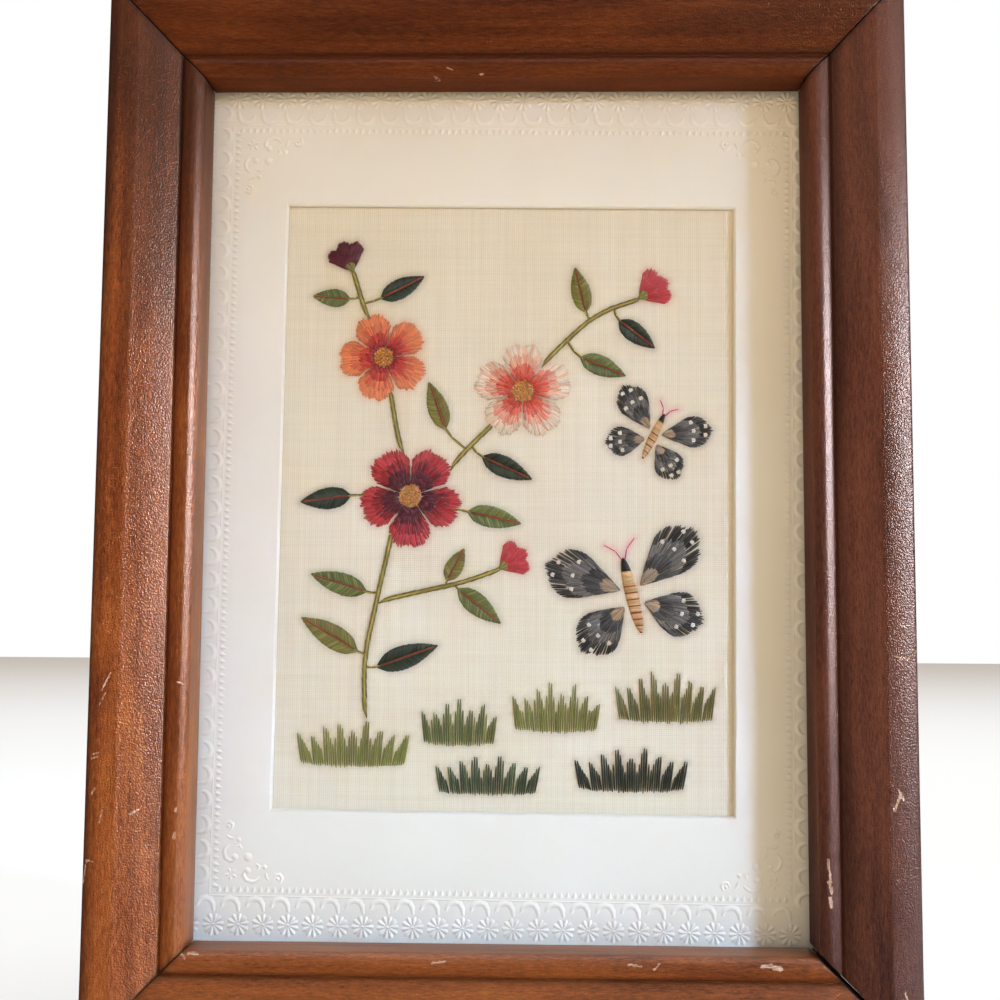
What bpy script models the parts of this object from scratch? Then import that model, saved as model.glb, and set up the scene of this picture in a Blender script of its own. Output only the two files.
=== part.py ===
"""Framed silk embroidery picture: a stained wood frame, glass, an embossed mat card and worked silk.

The picture stands upright on its bottom rail and faces -Y. X runs across it and Z runs up.
The origin is at the middle of the box, on the surface that the bottom rail stands on.
Sizes are in metres. Depths are measured forward from the frame's back plane.
"""

import math

import bmesh
import bpy
from mathutils import Matrix, Vector

# Frame
SIGHT_WIDTH = 0.160
SIGHT_HEIGHT = 0.228
RAIL_WIDTH = 0.027
FRAME_DEPTH = 0.025
REBATE_WIDTH = 0.0095
REBATE_DEPTH = 0.0107
MITRE_GAP = 0.0003
OPEN_MITRE_GAP = 0.0011
BACK_CHAMFER = 0.0006

# Section of the moulding: how far out from the sight edge, and how far forward
SIGHT_WALL_TOP = (0.0004, 0.0189)
BEAD_CENTRE = (0.0032, 0.0193)
BEAD_RADIUS = 0.0022
BEAD_ARC = (176, 6)
BEAD_STEPS = 10
GROOVE_FLOOR = ((0.0056, 0.0189), (0.0062, 0.0189))
FACE_INNER = (0.0072, 0.0206)
FACE_OUTER = (0.0177, 0.0248)
FACE_CROWN = 0.0002
FACE_STEPS = 4
SHOULDER_CENTRE = (0.0184, 0.0164)
SHOULDER_ARC = (90, 0)
SHOULDER_STEPS = 12

# What lies in the rebate, from the glass back
LAYER_GAP = 0.0003
REBATE_CLEARANCE = 0.0005
GLASS_THICKNESS = 0.0020
MAT_THICKNESS = 0.0012
SILK_THICKNESS = 0.0010
BACKING_THICKNESS = 0.0026

# Mat card, which sits a little turned and off centre behind the glass
MAT_SIZE = (0.1745, 0.240)
MAT_SHIFT = (0.0009, 0.0008)
MAT_TURN = math.radians(0.45)
WINDOW_SIZE = (0.1220, 0.1634)
SILK_MARGIN = 0.0100

# Worked motifs: their pile stands this far off the silk
PILE_THICKNESS = 0.0009
STEM_RADIUS = 0.0006
STEM_STEPS = 5
KNOT_SHARE = 0.22
KNOT_HEIGHT = 0.0011
OUTLINE_STEPS = 14
ARC_STEPS = 60

# Blossoms with five petals, seen from the front: centre from the window's middle, radius, turn
BLOSSOMS = (
    # name, x, z, radius, turn in degrees, colour
    ("blossom_crimson", -0.0260, 0.0020, 0.0148, 54, "crimson"),
    ("blossom_coral", 0.0040, 0.0310, 0.0142, 18, "coral"),
    ("blossom_scarlet", -0.0340, 0.0400, 0.0130, 40, "scarlet"),
)

# Half-open buds, seen from the side: where the cup starts, and which way it points
BUDS = (
    # name, x, z, length, direction in degrees, colour
    ("bud_crimson", 0.0352, 0.0568, 0.0100, 35, "crimson"),
    ("bud_plum", -0.0430, 0.0635, 0.0095, 112, "plum"),
    ("bud_rose", -0.0018, -0.0174, 0.0092, 34, "crimson"),
)

# Willow leaves: where the leaf starts, which way it points, length and greatest width
LEAVES = (
    # name, x, z, direction in degrees, length, width, colour
    ("leaf_low_left", -0.0392, -0.0400, 150, 0.0180, 0.0066, "olive"),
    ("leaf_low_right", -0.0342, -0.0440, 20, 0.0175, 0.0066, "deep_green"),
    ("leaf_mid_left", -0.0372, -0.0240, 163, 0.0160, 0.0062, "leaf_green"),
    ("leaf_crimson_left", -0.0420, 0.0020, 188, 0.0140, 0.0062, "deep_green"),
    ("leaf_crimson_right", -0.0105, -0.0020, -12, 0.0150, 0.0060, "leaf_green"),
    ("leaf_between_low", -0.0068, 0.0130, -24, 0.0150, 0.0060, "deep_green"),
    ("leaf_between_high", -0.0168, 0.0202, 110, 0.0140, 0.0058, "olive"),
    ("leaf_coral_right", 0.0195, 0.0405, -22, 0.0135, 0.0058, "leaf_green"),
    ("leaf_tip_left", 0.0210, 0.0528, 104, 0.0130, 0.0056, "olive"),
    ("leaf_tip_right", 0.0300, 0.0508, -38, 0.0125, 0.0056, "deep_green"),
    ("leaf_scarlet_right", -0.0352, 0.0562, 28, 0.0135, 0.0058, "deep_green"),
    ("leaf_scarlet_left", -0.0435, 0.0560, 176, 0.0105, 0.0052, "leaf_green"),
    ("leaf_branch_high", -0.0158, -0.0208, 62, 0.0100, 0.0050, "olive"),
    ("leaf_branch_low", -0.0128, -0.0228, -38, 0.0150, 0.0060, "leaf_green"),
)

# Stems: the points that each one passes through
STEMS = (
    ("stem_main", ((-0.0370, -0.0560), (-0.0372, -0.0420), (-0.0350, -0.0290), (-0.0320, -0.0112))),
    ("stem_branch", ((-0.0328, -0.0262), (-0.0240, -0.0240), (-0.0120, -0.0212), (-0.0030, -0.0180))),
    ("stem_coral", ((-0.0142, 0.0104), (-0.0110, 0.0148), (-0.0062, 0.0192))),
    ("stem_scarlet", ((-0.0292, 0.0170), (-0.0302, 0.0210), (-0.0312, 0.0268))),
    ("stem_tip", ((0.0128, 0.0438), (0.0200, 0.0490), (0.0270, 0.0536), (0.0338, 0.0560))),
    ("stem_top", ((-0.0396, 0.0530), (-0.0408, 0.0570), (-0.0424, 0.0622))),
)

# Butterflies seen from above: centre, half the wing span, and which way the head points
BUTTERFLIES = (
    # name, x, z, reach of a wing, direction in degrees
    ("butterfly_large", 0.0340, -0.0240, 0.0215, 104),
    ("butterfly_small", 0.0395, 0.0190, 0.0140, 64),
)
WINGS = (
    # name, angle from the head, length, width, root along the body, swell, all but angle as shares of the reach
    ("forewing", 58, 1.00, 0.62, 0.10, 1.7),
    ("hindwing", 122, 0.78, 0.58, -0.12, 1.5),
)
BODY_LENGTH = 0.95
BODY_WIDTH = 0.17
WING_ROOT = 0.13

# Fans of grass on the ground: middle of the root line, its width, height and number of blades
TUFTS = (
    # name, x, z, width, height, blades, colour
    ("grass_left", -0.0400, -0.0690, 0.0300, 0.0115, 9, "spring_green"),
    ("grass_stem", -0.0118, -0.0630, 0.0210, 0.0120, 7, "leaf_green"),
    ("grass_middle", 0.0140, -0.0590, 0.0240, 0.0125, 8, "spring_green"),
    ("grass_right", 0.0430, -0.0560, 0.0270, 0.0130, 9, "olive"),
    ("grass_low_middle", -0.0040, -0.0760, 0.0280, 0.0100, 9, "deep_green"),
    ("grass_low_right", 0.0340, -0.0745, 0.0300, 0.0110, 9, "black_green"),
)
BLADE_ROOT = 0.34
TUFT_SPREAD = 0.12

COLOURS = {
    # name: red, green, blue, roughness
    "stained_wood": (0.140, 0.045, 0.022, 0.38),
    "glass": (0.900, 0.930, 0.920, 0.05),
    "card": (0.840, 0.790, 0.720, 0.75),
    "silk": (0.760, 0.700, 0.560, 0.60),
    "board": (0.260, 0.170, 0.100, 0.85),
    "crimson": (0.420, 0.020, 0.030, 0.50),
    "coral": (0.850, 0.270, 0.180, 0.50),
    "scarlet": (0.620, 0.070, 0.040, 0.50),
    "plum": (0.140, 0.012, 0.030, 0.50),
    "amber": (0.800, 0.270, 0.030, 0.50),
    "olive": (0.190, 0.170, 0.040, 0.50),
    "leaf_green": (0.100, 0.160, 0.050, 0.50),
    "spring_green": (0.230, 0.270, 0.060, 0.50),
    "deep_green": (0.030, 0.060, 0.035, 0.50),
    "black_green": (0.012, 0.022, 0.016, 0.50),
    "slate": (0.110, 0.110, 0.120, 0.50),
    "tan": (0.560, 0.350, 0.150, 0.50),
}

PICTURE_CENTRE = Vector((0, 0, RAIL_WIDTH + SIGHT_HEIGHT / 2))
GLASS_FRONT = REBATE_DEPTH - LAYER_GAP
MAT_FRONT = GLASS_FRONT - GLASS_THICKNESS - LAYER_GAP
SILK_FRONT = MAT_FRONT - MAT_THICKNESS - LAYER_GAP
BACKING_FRONT = SILK_FRONT - SILK_THICKNESS - LAYER_GAP
PILE_BACK = SILK_FRONT + LAYER_GAP


def clear_scene():
    """Empties the scene that the script starts in."""
    for old in list(bpy.data.objects):
        bpy.data.objects.remove(old)


def new_collection(name):
    """A collection under the scene for the object's parts."""
    made = bpy.data.collections.new(name)
    bpy.context.scene.collection.children.link(made)
    return made


def material(name):
    """The Principled material for one of the named colours."""
    found = bpy.data.materials.get(name)
    if found:
        return found
    red, green, blue, roughness = COLOURS[name]
    made = bpy.data.materials.new(name)
    made.use_nodes = True
    shader = made.node_tree.nodes["Principled BSDF"]
    shader.inputs["Base Color"].default_value = (red, green, blue, 1)
    shader.inputs["Roughness"].default_value = roughness
    if name == "glass":
        shader.inputs["Transmission Weight"].default_value = 1
    return made


def world_y(depth):
    """The Y of a point that lies this far forward of the frame's back plane."""
    return FRAME_DEPTH / 2 - depth


def arc(centre, radii, start, stop, steps):
    """Points from one angle to another, in degrees, round a circle or an ellipse."""
    points = []
    for i in range(steps + 1):
        angle = math.radians(start + (stop - start) * i / steps)
        points.append((centre[0] + radii[0] * math.cos(angle), centre[1] + radii[1] * math.sin(angle)))
    return points


def flat_curve(name, outlines, thickness):
    """A filled 2D curve with a closed outline for each list of points, as thick as asked."""
    curve = bpy.data.curves.new(name, "CURVE")
    curve.dimensions = "2D"
    curve.fill_mode = "BOTH"
    curve.extrude = thickness / 2
    for points in outlines:
        spline = curve.splines.new("POLY")
        spline.points.add(len(points) - 1)
        for point, (x, y) in zip(spline.points, points):
            point.co = (x, y, 0, 1)
        spline.use_cyclic_u = True
    return curve


def place(name, data, colour, collection, location=(0, 0, 0), rotation=(0, 0, 0), parent=None):
    """Links an object made from the data, in its place and its material."""
    made = bpy.data.objects.new(name, data)
    made.location = location
    made.rotation_euler = rotation
    made.parent = parent
    data.materials.append(material(colour))
    collection.objects.link(made)
    return made


def panel(name, outlines, back, thickness, colour, collection, parent):
    """A flat piece that faces the front, with its outlines in the picture's plane."""
    data = flat_curve(name, outlines, thickness)
    location = (0, world_y(back + thickness / 2), 0)
    return place(name, data, colour, collection, location, (math.radians(90), 0, 0), parent)


def rectangle(width, height):
    """The corners of a rectangle round the middle."""
    x, y = width / 2, height / 2
    return [(-x, -y), (x, -y), (x, y), (-x, y)]


def turned(points, x, y, degrees):
    """The points turned about the origin and then moved."""
    c, s = math.cos(math.radians(degrees)), math.sin(math.radians(degrees))
    return [(x + px * c - py * s, y + px * s + py * c) for px, py in points]


def moulding_section():
    """The outline of a rail's section: across, out from the sight edge, and forward from the back."""
    face = []
    for i in range(FACE_STEPS + 1):
        share = i / FACE_STEPS
        across = FACE_INNER[0] + (FACE_OUTER[0] - FACE_INNER[0]) * share
        forward = FACE_INNER[1] + (FACE_OUTER[1] - FACE_INNER[1]) * share
        face.append((across, forward + FACE_CROWN * math.sin(math.pi * share)))
    shoulder_radii = (RAIL_WIDTH - SHOULDER_CENTRE[0], FRAME_DEPTH - SHOULDER_CENTRE[1])
    section = [(0, REBATE_DEPTH), SIGHT_WALL_TOP]
    section += arc(BEAD_CENTRE, (BEAD_RADIUS, BEAD_RADIUS), *BEAD_ARC, BEAD_STEPS)
    section += list(GROOVE_FLOOR) + face
    section += arc(SHOULDER_CENTRE, shoulder_radii, *SHOULDER_ARC, SHOULDER_STEPS)
    section += [(RAIL_WIDTH, BACK_CHAMFER), (RAIL_WIDTH - BACK_CHAMFER, 0)]
    section += [(REBATE_WIDTH, 0), (REBATE_WIDTH, REBATE_DEPTH)]
    return section


def rail(name, half_across, half_along, turn, end_gaps, collection):
    """One mitred rail. It runs along its own Z and its outer side faces its own +X before it is turned."""
    outline = [(across, world_y(forward)) for across, forward in moulding_section()]
    blank = bpy.data.objects.new(name + "_blank", flat_curve(name, [outline], 2))
    collection.objects.link(blank)
    depsgraph = bpy.context.evaluated_depsgraph_get()
    mesh = bpy.data.meshes.new_from_object(blank.evaluated_get(depsgraph))
    mesh.name = name
    bpy.data.objects.remove(blank)
    body = bmesh.new()
    body.from_mesh(mesh)
    bmesh.ops.remove_doubles(body, verts=body.verts, dist=0.00001)
    for vertex in body.verts:
        lower, upper = end_gaps
        reach = half_along + vertex.co.x
        vertex.co.z = reach - upper if vertex.co.z > 0 else lower - reach
    bmesh.ops.recalc_face_normals(body, faces=body.faces)
    body.to_mesh(mesh)
    body.free()
    mesh.materials.clear()
    angle = math.radians(turn)
    outward = Matrix.Rotation(angle, 3, "Y") @ Vector((half_across, 0, 0))
    return place(name, mesh, "stained_wood", collection, PICTURE_CENTRE + outward, (0, angle, 0))


def build_frame(collection):
    """Four rails, joined at the mitres. The lower right mitre has opened with age."""
    half_width, half_height = SIGHT_WIDTH / 2, SIGHT_HEIGHT / 2
    share = MITRE_GAP / 2 * math.sqrt(2)
    opened = share + (OPEN_MITRE_GAP - MITRE_GAP) * math.sqrt(2)
    rail("rail_right", half_width, half_height, 0, (opened, share), collection)
    rail("rail_top", half_height, half_width, -90, (share, share), collection)
    rail("rail_left", half_width, half_height, 180, (share, share), collection)
    rail("rail_bottom", half_height, half_width, 90, (share, share), collection)


def build_glazing(collection, centre):
    """The glass in front and the backing board behind, both cut to fill the rebate."""
    width = SIGHT_WIDTH + 2 * (REBATE_WIDTH - REBATE_CLEARANCE)
    height = SIGHT_HEIGHT + 2 * (REBATE_WIDTH - REBATE_CLEARANCE)
    outline = [rectangle(width, height)]
    panel("glass", outline, GLASS_FRONT - GLASS_THICKNESS, GLASS_THICKNESS, "glass", collection, centre)
    back = BACKING_FRONT - BACKING_THICKNESS
    panel("backing_board", outline, back, BACKING_THICKNESS, "board", collection, centre)


def build_mat_and_silk(collection, parent):
    """The mat card with its window, and the silk stretched behind it."""
    outlines = [rectangle(*MAT_SIZE), rectangle(*WINDOW_SIZE)]
    panel("mat_card", outlines, MAT_FRONT - MAT_THICKNESS, MAT_THICKNESS, "card", collection, parent)
    silk = [rectangle(*(side + 2 * SILK_MARGIN for side in WINDOW_SIZE))]
    panel("silk_ground", silk, SILK_FRONT - SILK_THICKNESS, SILK_THICKNESS, "silk", collection, parent)


def blossom_outline(radius, turn):
    """Five round petals with a notch between each two and a dent in each tip."""
    points = []
    for i in range(ARC_STEPS):
        angle = 2 * math.pi * i / ARC_STEPS
        petal = abs(math.cos(2.5 * angle)) ** 0.55
        from_tip = (angle + math.pi / 5) % (2 * math.pi / 5) - math.pi / 5
        dent = 0.07 * math.exp(-((from_tip / 0.14) ** 2))
        reach = radius * (0.56 + 0.44 * petal - dent)
        points.append((reach * math.cos(angle), reach * math.sin(angle)))
    return turned(points, 0, 0, turn)


def lobe_outline(length, width, swell):
    """A leaf or wing from the origin along +X. A larger swell puts the widest place nearer the tip."""
    upper = []
    for i in range(1, OUTLINE_STEPS):
        share = (1 - math.cos(math.pi * i / OUTLINE_STEPS)) / 2
        half = width / 2 * math.sin(math.pi * share**swell) ** 0.8
        upper.append((length * share, half))
    lower = [(x, -y) for x, y in reversed(upper)]
    return [(0, 0)] + upper + [(length, 0)] + lower


def bud_outline(length):
    """A cup of three petal tips that opens along +X from a narrow calyx."""
    points = [(0, 0)]
    spread = math.radians(46)
    for i in range(25):
        angle = spread * (i / 12 - 1)
        tips = abs(math.cos(1.5 * math.pi * angle / spread)) ** 0.7
        reach = length * (0.84 + 0.16 * tips) * (1 - 0.12 * (angle / spread) ** 2)
        points.append((reach * math.cos(angle), reach * math.sin(angle)))
    return points


def tuft_outline(width, height, blades):
    """A fan of grass blades on a low mound."""
    points = [(-width / 2, 0)]
    for i in range(blades):
        share = (i + 0.5) / blades * 2 - 1
        lean = width / 2 * TUFT_SPREAD * share
        x = width / 2 * share
        half_blade = width / blades / 2
        tip = height * (0.86 + 0.14 * math.cos(2.4 * i)) * (1 - 0.45 * share**2)
        valley = height * BLADE_ROOT * (1 - 0.45 * share**2)
        points.append((x + lean - half_blade * 0.35, tip))
        points.append((x + lean + half_blade * 0.35, tip * 0.97))
        if i < blades - 1:
            points.append((x + half_blade, valley))
    points.append((width / 2, 0))
    return points + arc((0, 0), (width / 2, height * 0.16), -20, -160, 8)


def motif(name, outlines, colour, collection, parent, thickness=PILE_THICKNESS):
    """A worked shape: a thin pad on the face of the silk."""
    return panel(name, outlines, PILE_BACK, thickness, colour, collection, parent)


def build_blossoms(collection, parent):
    """Blossoms with a cluster of knots in the middle, and the half-open buds."""
    for name, x, z, radius, turn, colour in BLOSSOMS:
        eye = radius * KNOT_SHARE
        petals = turned(blossom_outline(radius, turn), x, z, 0)
        hole = arc((x, z), (eye + LAYER_GAP, eye + LAYER_GAP), 0, 345, 23)
        motif(name, [petals, hole], colour, collection, parent)
        motif(name + "_knots", [arc((x, z), (eye, eye), 0, 345, 23)], "amber", collection, parent, KNOT_HEIGHT)
    for name, x, z, length, direction, colour in BUDS:
        motif(name, [turned(bud_outline(length), x, z, direction)], colour, collection, parent)


def build_leaves(collection, parent):
    """The willow leaves, each with its own direction."""
    for name, x, z, direction, length, width, colour in LEAVES:
        outline = turned(lobe_outline(length, width, 0.8), x, z, direction)
        motif(name, [outline], colour, collection, parent)


def smooth_route(points, steps):
    """Points along a Catmull-Rom curve through the given ones."""
    knots = [Vector(p) for p in points]
    knots = [2 * knots[0] - knots[1]] + knots + [2 * knots[-1] - knots[-2]]
    route = []
    for a, b, c, d in zip(knots, knots[1:], knots[2:], knots[3:]):
        for i in range(steps):
            t = i / steps
            route.append((2 * b + (c - a) * t + (2 * a - 5 * b + 4 * c - d) * t**2
                          + (3 * b - a - 3 * c + d) * t**3) / 2)
    return route + [knots[-2]]


def build_stems(collection, parent):
    """Round cords of stem stitch that lie on the silk."""
    y = world_y(PILE_BACK + STEM_RADIUS)
    for name, points in STEMS:
        curve = bpy.data.curves.new(name, "CURVE")
        curve.dimensions = "3D"
        curve.bevel_depth = STEM_RADIUS
        curve.bevel_resolution = 2
        curve.use_fill_caps = True
        route = smooth_route(points, STEM_STEPS)
        spline = curve.splines.new("POLY")
        spline.points.add(len(route) - 1)
        for point, (x, z) in zip(spline.points, route):
            point.co = (x, y, z, 1)
        place(name, curve, "olive", collection, parent=parent)


def build_butterflies(collection, parent):
    """Butterflies with two pairs of wings beside a slender body."""
    for name, x, z, reach, direction in BUTTERFLIES:
        body = arc((0, 0), (reach * BODY_LENGTH / 2, reach * BODY_WIDTH / 2), 0, 345, 23)
        motif(name + "_body", [turned(body, x, z, direction)], "tan", collection, parent, KNOT_HEIGHT)
        for side, sign in (("left", 1), ("right", -1)):
            for wing, angle, length, width, root, swell in WINGS:
                outline = lobe_outline(reach * length, reach * width, swell)
                outline = turned(outline, reach * root, sign * reach * WING_ROOT, sign * angle)
                outline = turned(outline, x, z, direction)
                motif(f"{name}_{wing}_{side}", [outline], "slate", collection, parent)


def build_grass(collection, parent):
    """Fans of grass that stand along the ground."""
    for name, x, z, width, height, blades, colour in TUFTS:
        outline = turned(tuft_outline(width, height, blades), x, z, 0)
        motif(name, [outline], colour, collection, parent)


def main():
    clear_scene()
    collection = new_collection("framed_silk_embroidery")
    build_frame(collection)
    centre = bpy.data.objects.new("picture_centre", None)
    centre.location = PICTURE_CENTRE
    collection.objects.link(centre)
    mount = bpy.data.objects.new("mat_centre", None)
    mount.location = (MAT_SHIFT[0], 0, MAT_SHIFT[1])
    mount.rotation_euler = (0, MAT_TURN, 0)
    mount.parent = centre
    collection.objects.link(mount)
    build_glazing(collection, centre)
    build_mat_and_silk(collection, mount)
    build_blossoms(collection, mount)
    build_leaves(collection, mount)
    build_stems(collection, mount)
    build_butterflies(collection, mount)
    build_grass(collection, mount)


main()
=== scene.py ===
import random
from contextlib import contextmanager
from math import atan2, cos, dist, exp, hypot, pi, radians, sin, sqrt, tau

import bmesh
import bpy
import numpy as np
from mathutils import Matrix, Vector, kdtree, noise


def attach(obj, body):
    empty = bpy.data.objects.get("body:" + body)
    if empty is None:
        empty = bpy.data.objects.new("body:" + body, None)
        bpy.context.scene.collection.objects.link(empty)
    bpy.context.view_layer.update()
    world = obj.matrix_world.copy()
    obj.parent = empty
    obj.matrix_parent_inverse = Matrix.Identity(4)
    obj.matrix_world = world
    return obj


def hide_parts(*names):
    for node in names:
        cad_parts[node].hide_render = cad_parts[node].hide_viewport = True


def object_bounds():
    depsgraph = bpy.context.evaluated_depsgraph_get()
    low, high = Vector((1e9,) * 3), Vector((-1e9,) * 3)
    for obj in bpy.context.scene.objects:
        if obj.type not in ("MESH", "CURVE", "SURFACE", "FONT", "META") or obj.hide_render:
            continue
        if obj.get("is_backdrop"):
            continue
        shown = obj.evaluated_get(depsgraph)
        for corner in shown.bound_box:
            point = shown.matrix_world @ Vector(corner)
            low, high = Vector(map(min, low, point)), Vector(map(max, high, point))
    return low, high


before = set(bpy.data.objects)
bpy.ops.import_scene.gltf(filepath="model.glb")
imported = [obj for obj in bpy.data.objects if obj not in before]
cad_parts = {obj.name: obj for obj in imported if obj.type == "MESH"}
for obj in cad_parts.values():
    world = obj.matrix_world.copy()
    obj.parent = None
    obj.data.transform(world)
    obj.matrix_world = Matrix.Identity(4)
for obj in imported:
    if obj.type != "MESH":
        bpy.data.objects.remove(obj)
cad_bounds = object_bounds()

# Camera: 50 mm lens, a little right of the middle and below it, looking slightly up
CAMERA_PLACE = (0.0076, -0.3674, 0.1094)
CAMERA_ANGLES = (95.15, -0.37, 1.26)
CAMERA_LENS = 50
CAMERA_SENSOR = 36

# Lamps: name, place, what they face, size, power, colour, spread in degrees, the kind of light left out
LAMPS = (
    ("key", (1.56, -1.22, 0.42), (0, 0, 0.025), (0.3, 0.3), 0.53, (0.49, 0.70, 0.98), 15, "glossy"),
    ("window", (1.62, -1.06, 0.50), (0, 0, 0.16), (1.15, 0.36), 46, (1.0, 0.94, 0.98), 180, "diffuse"),
    ("overhead", (0.1, 0.5, 2.2), (0, 0.5, 0), (2.4, 2.0), 40, (0.82, 0.92, 1.0), 180, None),
    ("warm", (0, -1.7, 0.50), (0, 0, 0.35), (0.6, 0.2), 0.23, (1.0, 0.60, 0.26), 27, "glossy"),
)

# Room: what lights the object from above and from below, what it mirrors, and the floor
ROOM_COLOUR = (1.0, 0.88, 0.73)
ROOM_LIGHT = 0.60
FLOOR_SIZE = 8
FLOOR_GLOW = (1.08, 0.85, 0.58)
MIRRORED_ROOM = (0.06, 0.045, 0.035)
MIRRORED_WINDOW = (1.0, 0.90, 0.95)
WINDOW_GLOW = 0.15

# Frame and layers, as in the solids. Depths are measured forward from the frame's back plane
SIGHT_WIDTH = 0.160
SIGHT_HEIGHT = 0.228
RAIL_WIDTH = 0.027
FRAME_DEPTH = 0.025
REBATE_WIDTH = 0.0095
REBATE_DEPTH = 0.0107
MITRE_GAP = 0.0003
OPEN_MITRE_GAP = 0.0011
MAT_FRONT = 0.0081
MAT_THICKNESS = 0.0012
MAT_SIZE = (0.1745, 0.240)
MAT_SHIFT = (0.0009, 0.0008)
MAT_TURN = radians(0.45)
WINDOW_SIZE = (0.1220, 0.1634)
WINDOW_BEVEL = 0.0005
SILK_FRONT = 0.0066
SILK_THICKNESS = 0.0004
SILK_MARGIN = 0.0100
PICTURE_CENTRE = Vector((0, 0, RAIL_WIDTH + SIGHT_HEIGHT / 2))
MAT_CENTRE = PICTURE_CENTRE + Vector((MAT_SHIFT[0], 0, MAT_SHIFT[1]))

# Rails. The groove and the shoulder are in millimetres out from the sight edge
SAW_ALLOWANCE = 0.004
RAIL_CUTS = 100
RAIL_BEVEL = 0.0002
SHARP_ANGLE = 32
GROOVE_MIDDLE = 6.5
SHOULDER = 18

# What the varnish mirrors, warm on the left and top rails and cooler on the others: a painted highlight tint
WARM_PAINTED_GLOSS = (1.0, 0.68, 0.50)
COOL_PAINTED_GLOSS = (1.0, 0.78, 0.70)
RAILS = {
    # side: turn in degrees, the grain's seed and axis, gloss, and where along it the colour goes from
    # darker to lighter, painted shade at the left rail's top; then the stains themselves: dark, middle and
    # light, lighter on the left and bottom rails as painted light and darker on the right and top as painted
    # shade
    "right": (0, 3.1, 2, COOL_PAINTED_GLOSS, (0.02, 0.26), (
        (0.050, 0.016, 0.015), (0.112, 0.034, 0.020), (0.175, 0.057, 0.031)
    )),
    "top": (-90, 5.2, 0, WARM_PAINTED_GLOSS, None, (
        (0.062, 0.011, 0.001), (0.120, 0.023, 0.002), (0.190, 0.044, 0.005)
    )),
    "left": (180, 8.4, 2, WARM_PAINTED_GLOSS, (0.26, 0.06), (
        (0.088, 0.019, 0.007), (0.215, 0.050, 0.012), (0.410, 0.120, 0.024)
    )),
    "bottom": (90, 1.3, 0, COOL_PAINTED_GLOSS, None, (
        (0.105, 0.024, 0.007), (0.235, 0.060, 0.013), (0.370, 0.112, 0.024)
    )),
}
# Darkening on the rails, by dirt and painted shade
GRIME_AND_SHADE = (0.030, 0.008, 0.004)

# Scratches and chips in the varnish, judged, in millimetres: along the rail from its middle, up
# or to the right, and out from the sight edge, for both ends; then the width. They are on the front only
SCRATCHES = {
    "right": (
        (-90, 2.8, -95.5, 3.4, 0.5), (-95.5, 3, -98, 3.6, 0.8), (-99.5, 3.2, -101.5, 3.5, 0.9),
        (-77, 18.8, -73, 20.6, 0.6), (-72, 20, -74.5, 21.2, 0.5), (-38.5, 19.5, -39.5, 21.5, 0.3),
        (-39, 22, -40, 23, 0.3), (-39.5, 23, -37.5, 25.2, 0.4), (-121.5, 20.5, -125, 22, 0.4),
        (-124.5, 22.8, -128, 23.2, 1.2), (-126, 21.5, -128, 22, 0.8), (137.5, 22, 137, 25, 0.6),
        (136, 23, 135.5, 25, 0.4),
    ),
    "left": (
        (-44.2, 19.5, -48.7, 21.8, 0.3), (-49.5, 20.8, -52.5, 22.3, 0.3), (-64.5, 22.2, -65, 23.8, 0.3),
        (-65.5, 22.4, -66, 24, 0.4), (-73.5, 23, -75, 23.6, 0.3), (-79, 20.6, -82, 21.5, 0.3),
        (-80, 14, -79, 12, 0.5), (-91.8, 22.8, -91.5, 24.6, 0.3), (-91.5, 24.6, -97, 25.3, 0.4),
        (-85, 3, -86, 3.1, 0.7), (-78.7, 2.8, -79.3, 2.8, 0.5), (-105, 2.6, -106, 2.6, 0.4),
        (-46.6, 3.6, -47, 2.2, 0.3),
    ),
    "top": (
        (-15.5, 2.6, -13.8, 1.9, 0.05), (-6.6, 1.2, -5.8, 1.1, 0.2), (-5, 9.7, -3.6, 9.6, 0.05),
        (-19, 0.6, -17.5, 0.5, 0.05),
    ),
    "bottom": (
        (66, 2.4, 68.5, 2.2, 0.8), (69, 2.7, 70.5, 2.9, 1.3), (32.5, 2.2, 36, 2.8, 0.4),
        (39, 3.4, 40.3, 2.2, 0.4), (-17, 2.5, -13.5, 2.1, 0.3), (-79, 1, -76.5, 1.2, 0.5),
        (-80.5, 1.2, -79.6, 2, 0.5),
    ),
}
SCRATCHED_FROM = 16.5

# Embossed border on the card, in millimetres from the window's middle, and out from its row of drops
DROP_ROW = (75.2, 102.7)
DROP_PITCH = 1.84
LINE_OUT = 1.6
HOOK_END = 4
DAISY_OUT = 9
DAISY_END = 6.9
DAISY_PITCH = 6.46
DAISY_PETALS = 10
EMBOSS_HEIGHT = 0.38
EMBOSS_LIFT = 0.01

# Worked motifs, as in the solids: in millimetres from the window's middle, x right and z up
BLOSSOMS = (
    # name, x, z, radius, turn in degrees, dyes from the tips to the eye
    ("blossom_crimson", -26, 2, 14.8, 54, ("rose", "crimson", "plum", "plum")),
    ("blossom_coral", 4, 31, 14.2, 18, ("cream", "blush", "coral", "scarlet")),
    ("blossom_scarlet", -34, 40, 13, 40, ("salmon", "salmon", "scarlet", "crimson")),
)
PETALS = 5
PETAL_ROWS = (
    # stitches in a petal's row, outer end, inner end, both as shares of the reach, ragged by, lift
    (34, 1.00, 0.66, 0.07, 0),
    (24, 0.82, 0.48, 0.08, 0.10),
    (17, 0.62, 0.30, 0.07, 0.18),
    (12, 0.44, 0.22, 0.05, 0.24),
)
PETAL_SPREAD = radians(34)
KNOTS = 34
KNOT_SHARE = 0.22
KNOT_GAP = 0.3
GOLDEN_TURN = 2.39996
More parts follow.
